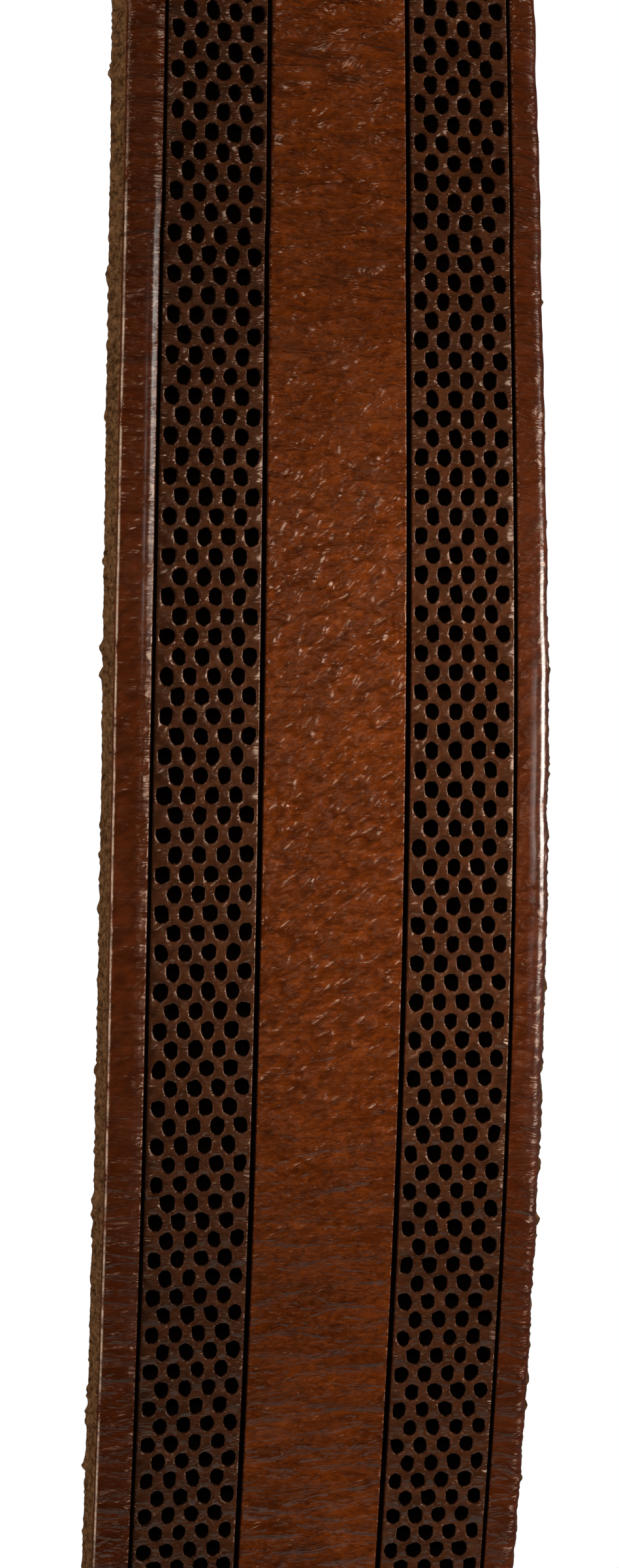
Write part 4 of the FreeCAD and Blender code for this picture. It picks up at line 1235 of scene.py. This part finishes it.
# the pale tone of the edge: wear and a painted highlight
WEAR_AND_HIGHLIGHT_TONE = (0.52, 0.38, 0.28)
band_leather = leather("dyed_band_leather",
                       light_tone=(0.218, 0.0415, 0.0042), dark_tone=(0.105, 0.0168, 0.0014),
                       band_tone=(0.092, 0.026, 0.0085), margin_tone=(0.108, 0.0195, 0.0032),
                       raw_light=(0.26, 0.125, 0.052), raw_dark=(0.036, 0.014, 0.005),
                       wear_and_highlight_tone=WEAR_AND_HIGHLIGHT_TONE, crease_depth=0.0014)
tab_leather = leather("dyed_tab_leather",
                      light_tone=(0.160, 0.034, 0.006), dark_tone=(0.085, 0.0155, 0.0024),
                      band_tone=(0.12, 0.026, 0.005), margin_tone=(0.085, 0.017, 0.003),
                      raw_light=(0.26, 0.13, 0.06), raw_dark=(0.055, 0.022, 0.008),
                      wear_and_highlight_tone=WEAR_AND_HIGHLIGHT_TONE, crease_depth=0.0005)
print("leather materials:", [material.name for material in bpy.data.materials if "leather" in material.name])

# %% [markdown]
# ## Light and surroundings
# A soft key light stands high to the left and a second one level with the strap on its right, where
# it glints in the pits and along the rolled side. A small one almost in front is what the polished
# leather mirrors, and a narrow one on the left draws the thin bright line along the cut. The room
# itself is dim, so the dark leather stays dark, but the background is plain white. A broad light behind
# shows the flesh side, and a pale floor lies under the hanging strap.

# %% Lights, world and floor
def soft_light(name, azimuth, elevation, distance, width, height, power, colour):
    """A rectangular light that looks at the middle of the strap; azimuth 0 is straight in front."""
    data = bpy.data.lights.new(name, "AREA")
    data.shape, data.size, data.size_y = "RECTANGLE", width, height
    data.energy, data.color = power, colour
    light = bpy.data.objects.new(name, data)
    bpy.context.collection.objects.link(light)
    az, el = math.radians(azimuth), math.radians(elevation)
    toward = Vector((math.sin(az) * math.cos(el), -math.cos(az) * math.cos(el), math.sin(el)))
    light.location = middle * MM + toward * distance
    light.rotation_euler = toward.to_track_quat("Z", "Y").to_euler()
    return light


soft_light("key_light", -24, 46, 1.6, 0.6, 0.5, 12, (1.0, 0.97, 0.94))
soft_light("gloss_light", 20, 1, 1.6, 0.30, 0.24, 1.1, (1.0, 0.93, 0.88))
soft_light("edge_light", -80, 6, 1.4, 0.10, 0.9, 12, (1.0, 0.95, 0.88))
soft_light("side_light", 70, 2, 1.5, 0.80, 0.42, 17, (1.0, 0.96, 0.90))
soft_light("back_light", 172, 34, 1.8, 1.2, 0.8, 26, (1.0, 0.98, 0.96))

world = bpy.data.worlds.new("pale_room")
bpy.context.scene.world = world
world.use_nodes = True
world_nodes, world_links = world.node_tree.nodes, world.node_tree.links
world_nodes.clear()
path = world_nodes.new("ShaderNodeLightPath")
path.label = "What the lens sees"
dim_room = world_nodes.new("ShaderNodeBackground")
dim_room.label = "Dim room"
white = world_nodes.new("ShaderNodeBackground")
white.label = "White background"
choose = world_nodes.new("ShaderNodeMixShader")
choose.label = "Background or room"
world_links.new(path.outputs["Is Camera Ray"], choose.inputs["Fac"])
world_links.new(dim_room.outputs["Background"], choose.inputs[1])
world_links.new(white.outputs["Background"], choose.inputs[2])
world_out = world_nodes.new("ShaderNodeOutputWorld")
world_out.label = "World"
world_links.new(choose.outputs["Shader"], world_out.inputs["Surface"])
set_values({
    dim_room: {"Color": (0.9, 0.95, 1.0, 1), "Strength": 0.05},
    white: {"Color": (1, 1, 1, 1)},
})
lay_out(world_nodes)
bpy.context.scene.view_settings.view_transform = "Standard"

floor_mesh = bmesh.new()
bmesh.ops.create_circle(floor_mesh, cap_ends=True, segments=96, radius=0.34)
floor = finished("floor", floor_mesh)
floor.location = (0, 0, -1.03)
pale = bpy.data.materials.new("pale_floor")
pale.use_nodes = True
pale_shader = pale.node_tree.nodes["Principled BSDF"]
set_values({pale_shader: {"Base Color": (0.9, 0.9, 0.89, 1), "Roughness": 0.9,
                          "Emission Color": (1, 1, 1, 1), "Emission Strength": 0.35}})
floor.data.materials.append(pale)

# %% [markdown]
# ## Metal and thread
# The fittings are brass gone dull and brown in the corners; the staple is plain steel wire; the thread
# is waxed linen, whose twist shows as slanting ridges with painted shade between the strands.

# %% Metal and thread materials
def metal(name, clean, tarnish, low_rough, high_rough):
    """Tarnished metal: clean where it is rubbed, browner and duller in patches."""
    material = bpy.data.materials.new(name)
    material.use_nodes = True
    nodes, links = material.node_tree.nodes, material.node_tree.links
    nodes.clear()
    patch_frame = nodes.new("NodeFrame")
    patch_frame.label = "Tarnish"
    place = nodes.new("ShaderNodeTexCoord")
    place.label, place.parent = "Place", patch_frame
    patches = nodes.new("ShaderNodeTexNoise")
    patches.label, patches.parent = "Patches", patch_frame
    links.new(place.outputs["Object"], patches.inputs["Vector"])
    tone = nodes.new("ShaderNodeValToRGB")
    tone.label, tone.parent = "Clean to tarnished", patch_frame
    tone.color_ramp.elements[0].position = 0.38
    tone.color_ramp.elements[0].color = (*tarnish, 1)
    tone.color_ramp.elements[1].position = 0.62
    tone.color_ramp.elements[1].color = (*clean, 1)
    links.new(patches.outputs["Fac"], tone.inputs["Fac"])
    worn_frame = nodes.new("NodeFrame")
    worn_frame.label = "Wear"
    dull = nodes.new("ShaderNodeMapRange")
    dull.label, dull.parent = "Roughness", worn_frame
    links.new(patches.outputs["Fac"], dull.inputs["Value"])
    scratch = nodes.new("ShaderNodeTexNoise")
    scratch.label, scratch.parent = "Small dents", worn_frame
    links.new(place.outputs["Object"], scratch.inputs["Vector"])
    relief = nodes.new("ShaderNodeBump")
    relief.label, relief.parent = "Dent relief", worn_frame
    links.new(scratch.outputs["Fac"], relief.inputs["Height"])
    shader = nodes.new("ShaderNodeBsdfPrincipled")
    shader.label = "Metal"
    links.new(tone.outputs["Color"], shader.inputs["Base Color"])
    links.new(dull.outputs["Result"], shader.inputs["Roughness"])
    links.new(relief.outputs["Normal"], shader.inputs["Normal"])
    output = nodes.new("ShaderNodeOutputMaterial")
    output.label = "Surface"
    links.new(shader.outputs["BSDF"], output.inputs["Surface"])
    set_values({
        patches: {"Scale": 420.0, "Detail": 7.0, "Roughness": 0.65},
        dull: {"From Min": 0.35, "From Max": 0.65, "To Min": high_rough, "To Max": low_rough},
        scratch: {"Scale": 1400.0, "Detail": 4.0},
        relief: {"Distance": 0.00012},
        shader: {"Metallic": 1.0},
    })
    lay_out(nodes)
    return material


aged_brass = metal("aged_brass_worn", (0.72, 0.50, 0.22), (0.20, 0.105, 0.035), 0.24, 0.52)
staple_steel = metal("staple_steel_wire", (0.62, 0.62, 0.60), (0.28, 0.26, 0.23), 0.25, 0.45)

thread_material = bpy.data.materials.new("waxed_thread_cream")
thread_material.use_nodes = True
nodes, links = thread_material.node_tree.nodes, thread_material.node_tree.links
nodes.clear()
twist_frame = nodes.new("NodeFrame")
twist_frame.label = "Twist of the thread"
wind = nodes.new("ShaderNodeAttribute")
wind.label, wind.parent = "Round and along", twist_frame
wind.attribute_name = "wind"
turns = nodes.new("ShaderNodeMath")
turns.label, turns.parent = "Three strands", twist_frame
turns.operation = "MULTIPLY"
links.new(wind.outputs["Fac"], turns.inputs[0])
strands = nodes.new("ShaderNodeMath")
strands.label, strands.parent = "Strand ridges", twist_frame
strands.operation = "SINE"
links.new(turns.outputs["Value"], strands.inputs[0])
twist_bump = nodes.new("ShaderNodeBump")
twist_bump.label, twist_bump.parent = "Strand relief", twist_frame
links.new(strands.outputs["Value"], twist_bump.inputs["Height"])
# painted shade: the thread is darker between its strands, following their relief
strand_shade_frame = nodes.new("NodeFrame")
strand_shade_frame.label = "Strand shade"
strand_shade = nodes.new("ShaderNodeMapRange")
strand_shade.label, strand_shade.parent = "Painted shade between strands", strand_shade_frame
links.new(strands.outputs["Value"], strand_shade.inputs["Value"])
thread_tones_and_shade = nodes.new("ShaderNodeValToRGB")
thread_tones_and_shade.label, thread_tones_and_shade.parent = "Thread tones", strand_shade_frame
thread_tones_and_shade.color_ramp.elements[0].color = (0.16, 0.095, 0.042, 1)
thread_tones_and_shade.color_ramp.elements[1].position = 0.7
thread_tones_and_shade.color_ramp.elements[1].color = (0.52, 0.40, 0.24, 1)
links.new(strand_shade.outputs["Result"], thread_tones_and_shade.inputs["Fac"])
thread_shader = nodes.new("ShaderNodeBsdfPrincipled")
thread_shader.label = "Waxed thread"
links.new(thread_tones_and_shade.outputs["Color"], thread_shader.inputs["Base Color"])
links.new(twist_bump.outputs["Normal"], thread_shader.inputs["Normal"])
thread_output = nodes.new("ShaderNodeOutputMaterial")
thread_output.label = "Surface"
links.new(thread_shader.outputs["BSDF"], thread_output.inputs["Surface"])
set_values({
    turns: {1: 18.85},
    twist_bump: {"Distance": 0.00008},
    strand_shade: {"From Min": -1.0},
    thread_shader: {"Roughness": 0.55},
})
lay_out(nodes)
print("materials:", len(bpy.data.materials))

# %% [markdown]
# ## Putting it together
# Every leather piece stands for the plain node of the same part, and all but the two outer stretches of
# band ride on the same body as that part; those two keep no body. The three stretches of band are one
# strip of leather. The metal pieces stay as they are and only get their material.

# %% Pieces, bodies and materials
def join_in(piece, material, slot, *replaced):
    piece.data.materials.append(material)
    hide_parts(*replaced)


join_in(band_rear, band_leather, "band_leather", "band_rear")
join_in(band_middle, band_leather, "band_leather", "band_middle")
join_in(band_front, band_leather, "band_leather", "band_front")
join_in(rear_ear, tab_leather, "tab_leather", "rear_ear")
join_in(chape, tab_leather, "tab_leather", "front_chape")
join_in(tail, tab_leather, "tab_leather", "tail_strap")
join_in(tail_patch, tab_leather, "tab_leather", "tail_ear_patch")
join_in(keeper, tab_leather, "tab_leather", "tail_keeper")
join_in(ear_thread, thread_material, "waxed_thread", "rear_ear_stitching")
join_in(chape_thread, thread_material, "waxed_thread", "chape_stitching")
join_in(tail_thread, thread_material, "waxed_thread", "tail_ear_stitching")

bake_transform(band_rear)
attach(band_middle, "shoulder")
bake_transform(band_front)
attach(rear_ear, "rear_end")
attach(ear_thread, "rear_end")
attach(chape, "front_end")
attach(chape_thread, "front_end")
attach(tail, "tail")
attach(tail_patch, "tail")
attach(tail_thread, "tail")
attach(keeper, "keeper")

BRASS_NODES = ("loop_ring", "rear_rivet_posts", "rear_rivet_caps", "chape_rivet_posts", "chape_rivet_caps",
               "tail_screw_posts", "tail_screw_heads")
for name in (*BRASS_NODES, "keeper_staple"):
    for slot in frame["nodes"][name].material_slots:
        slot.material = aged_brass if name in BRASS_NODES else staple_steel
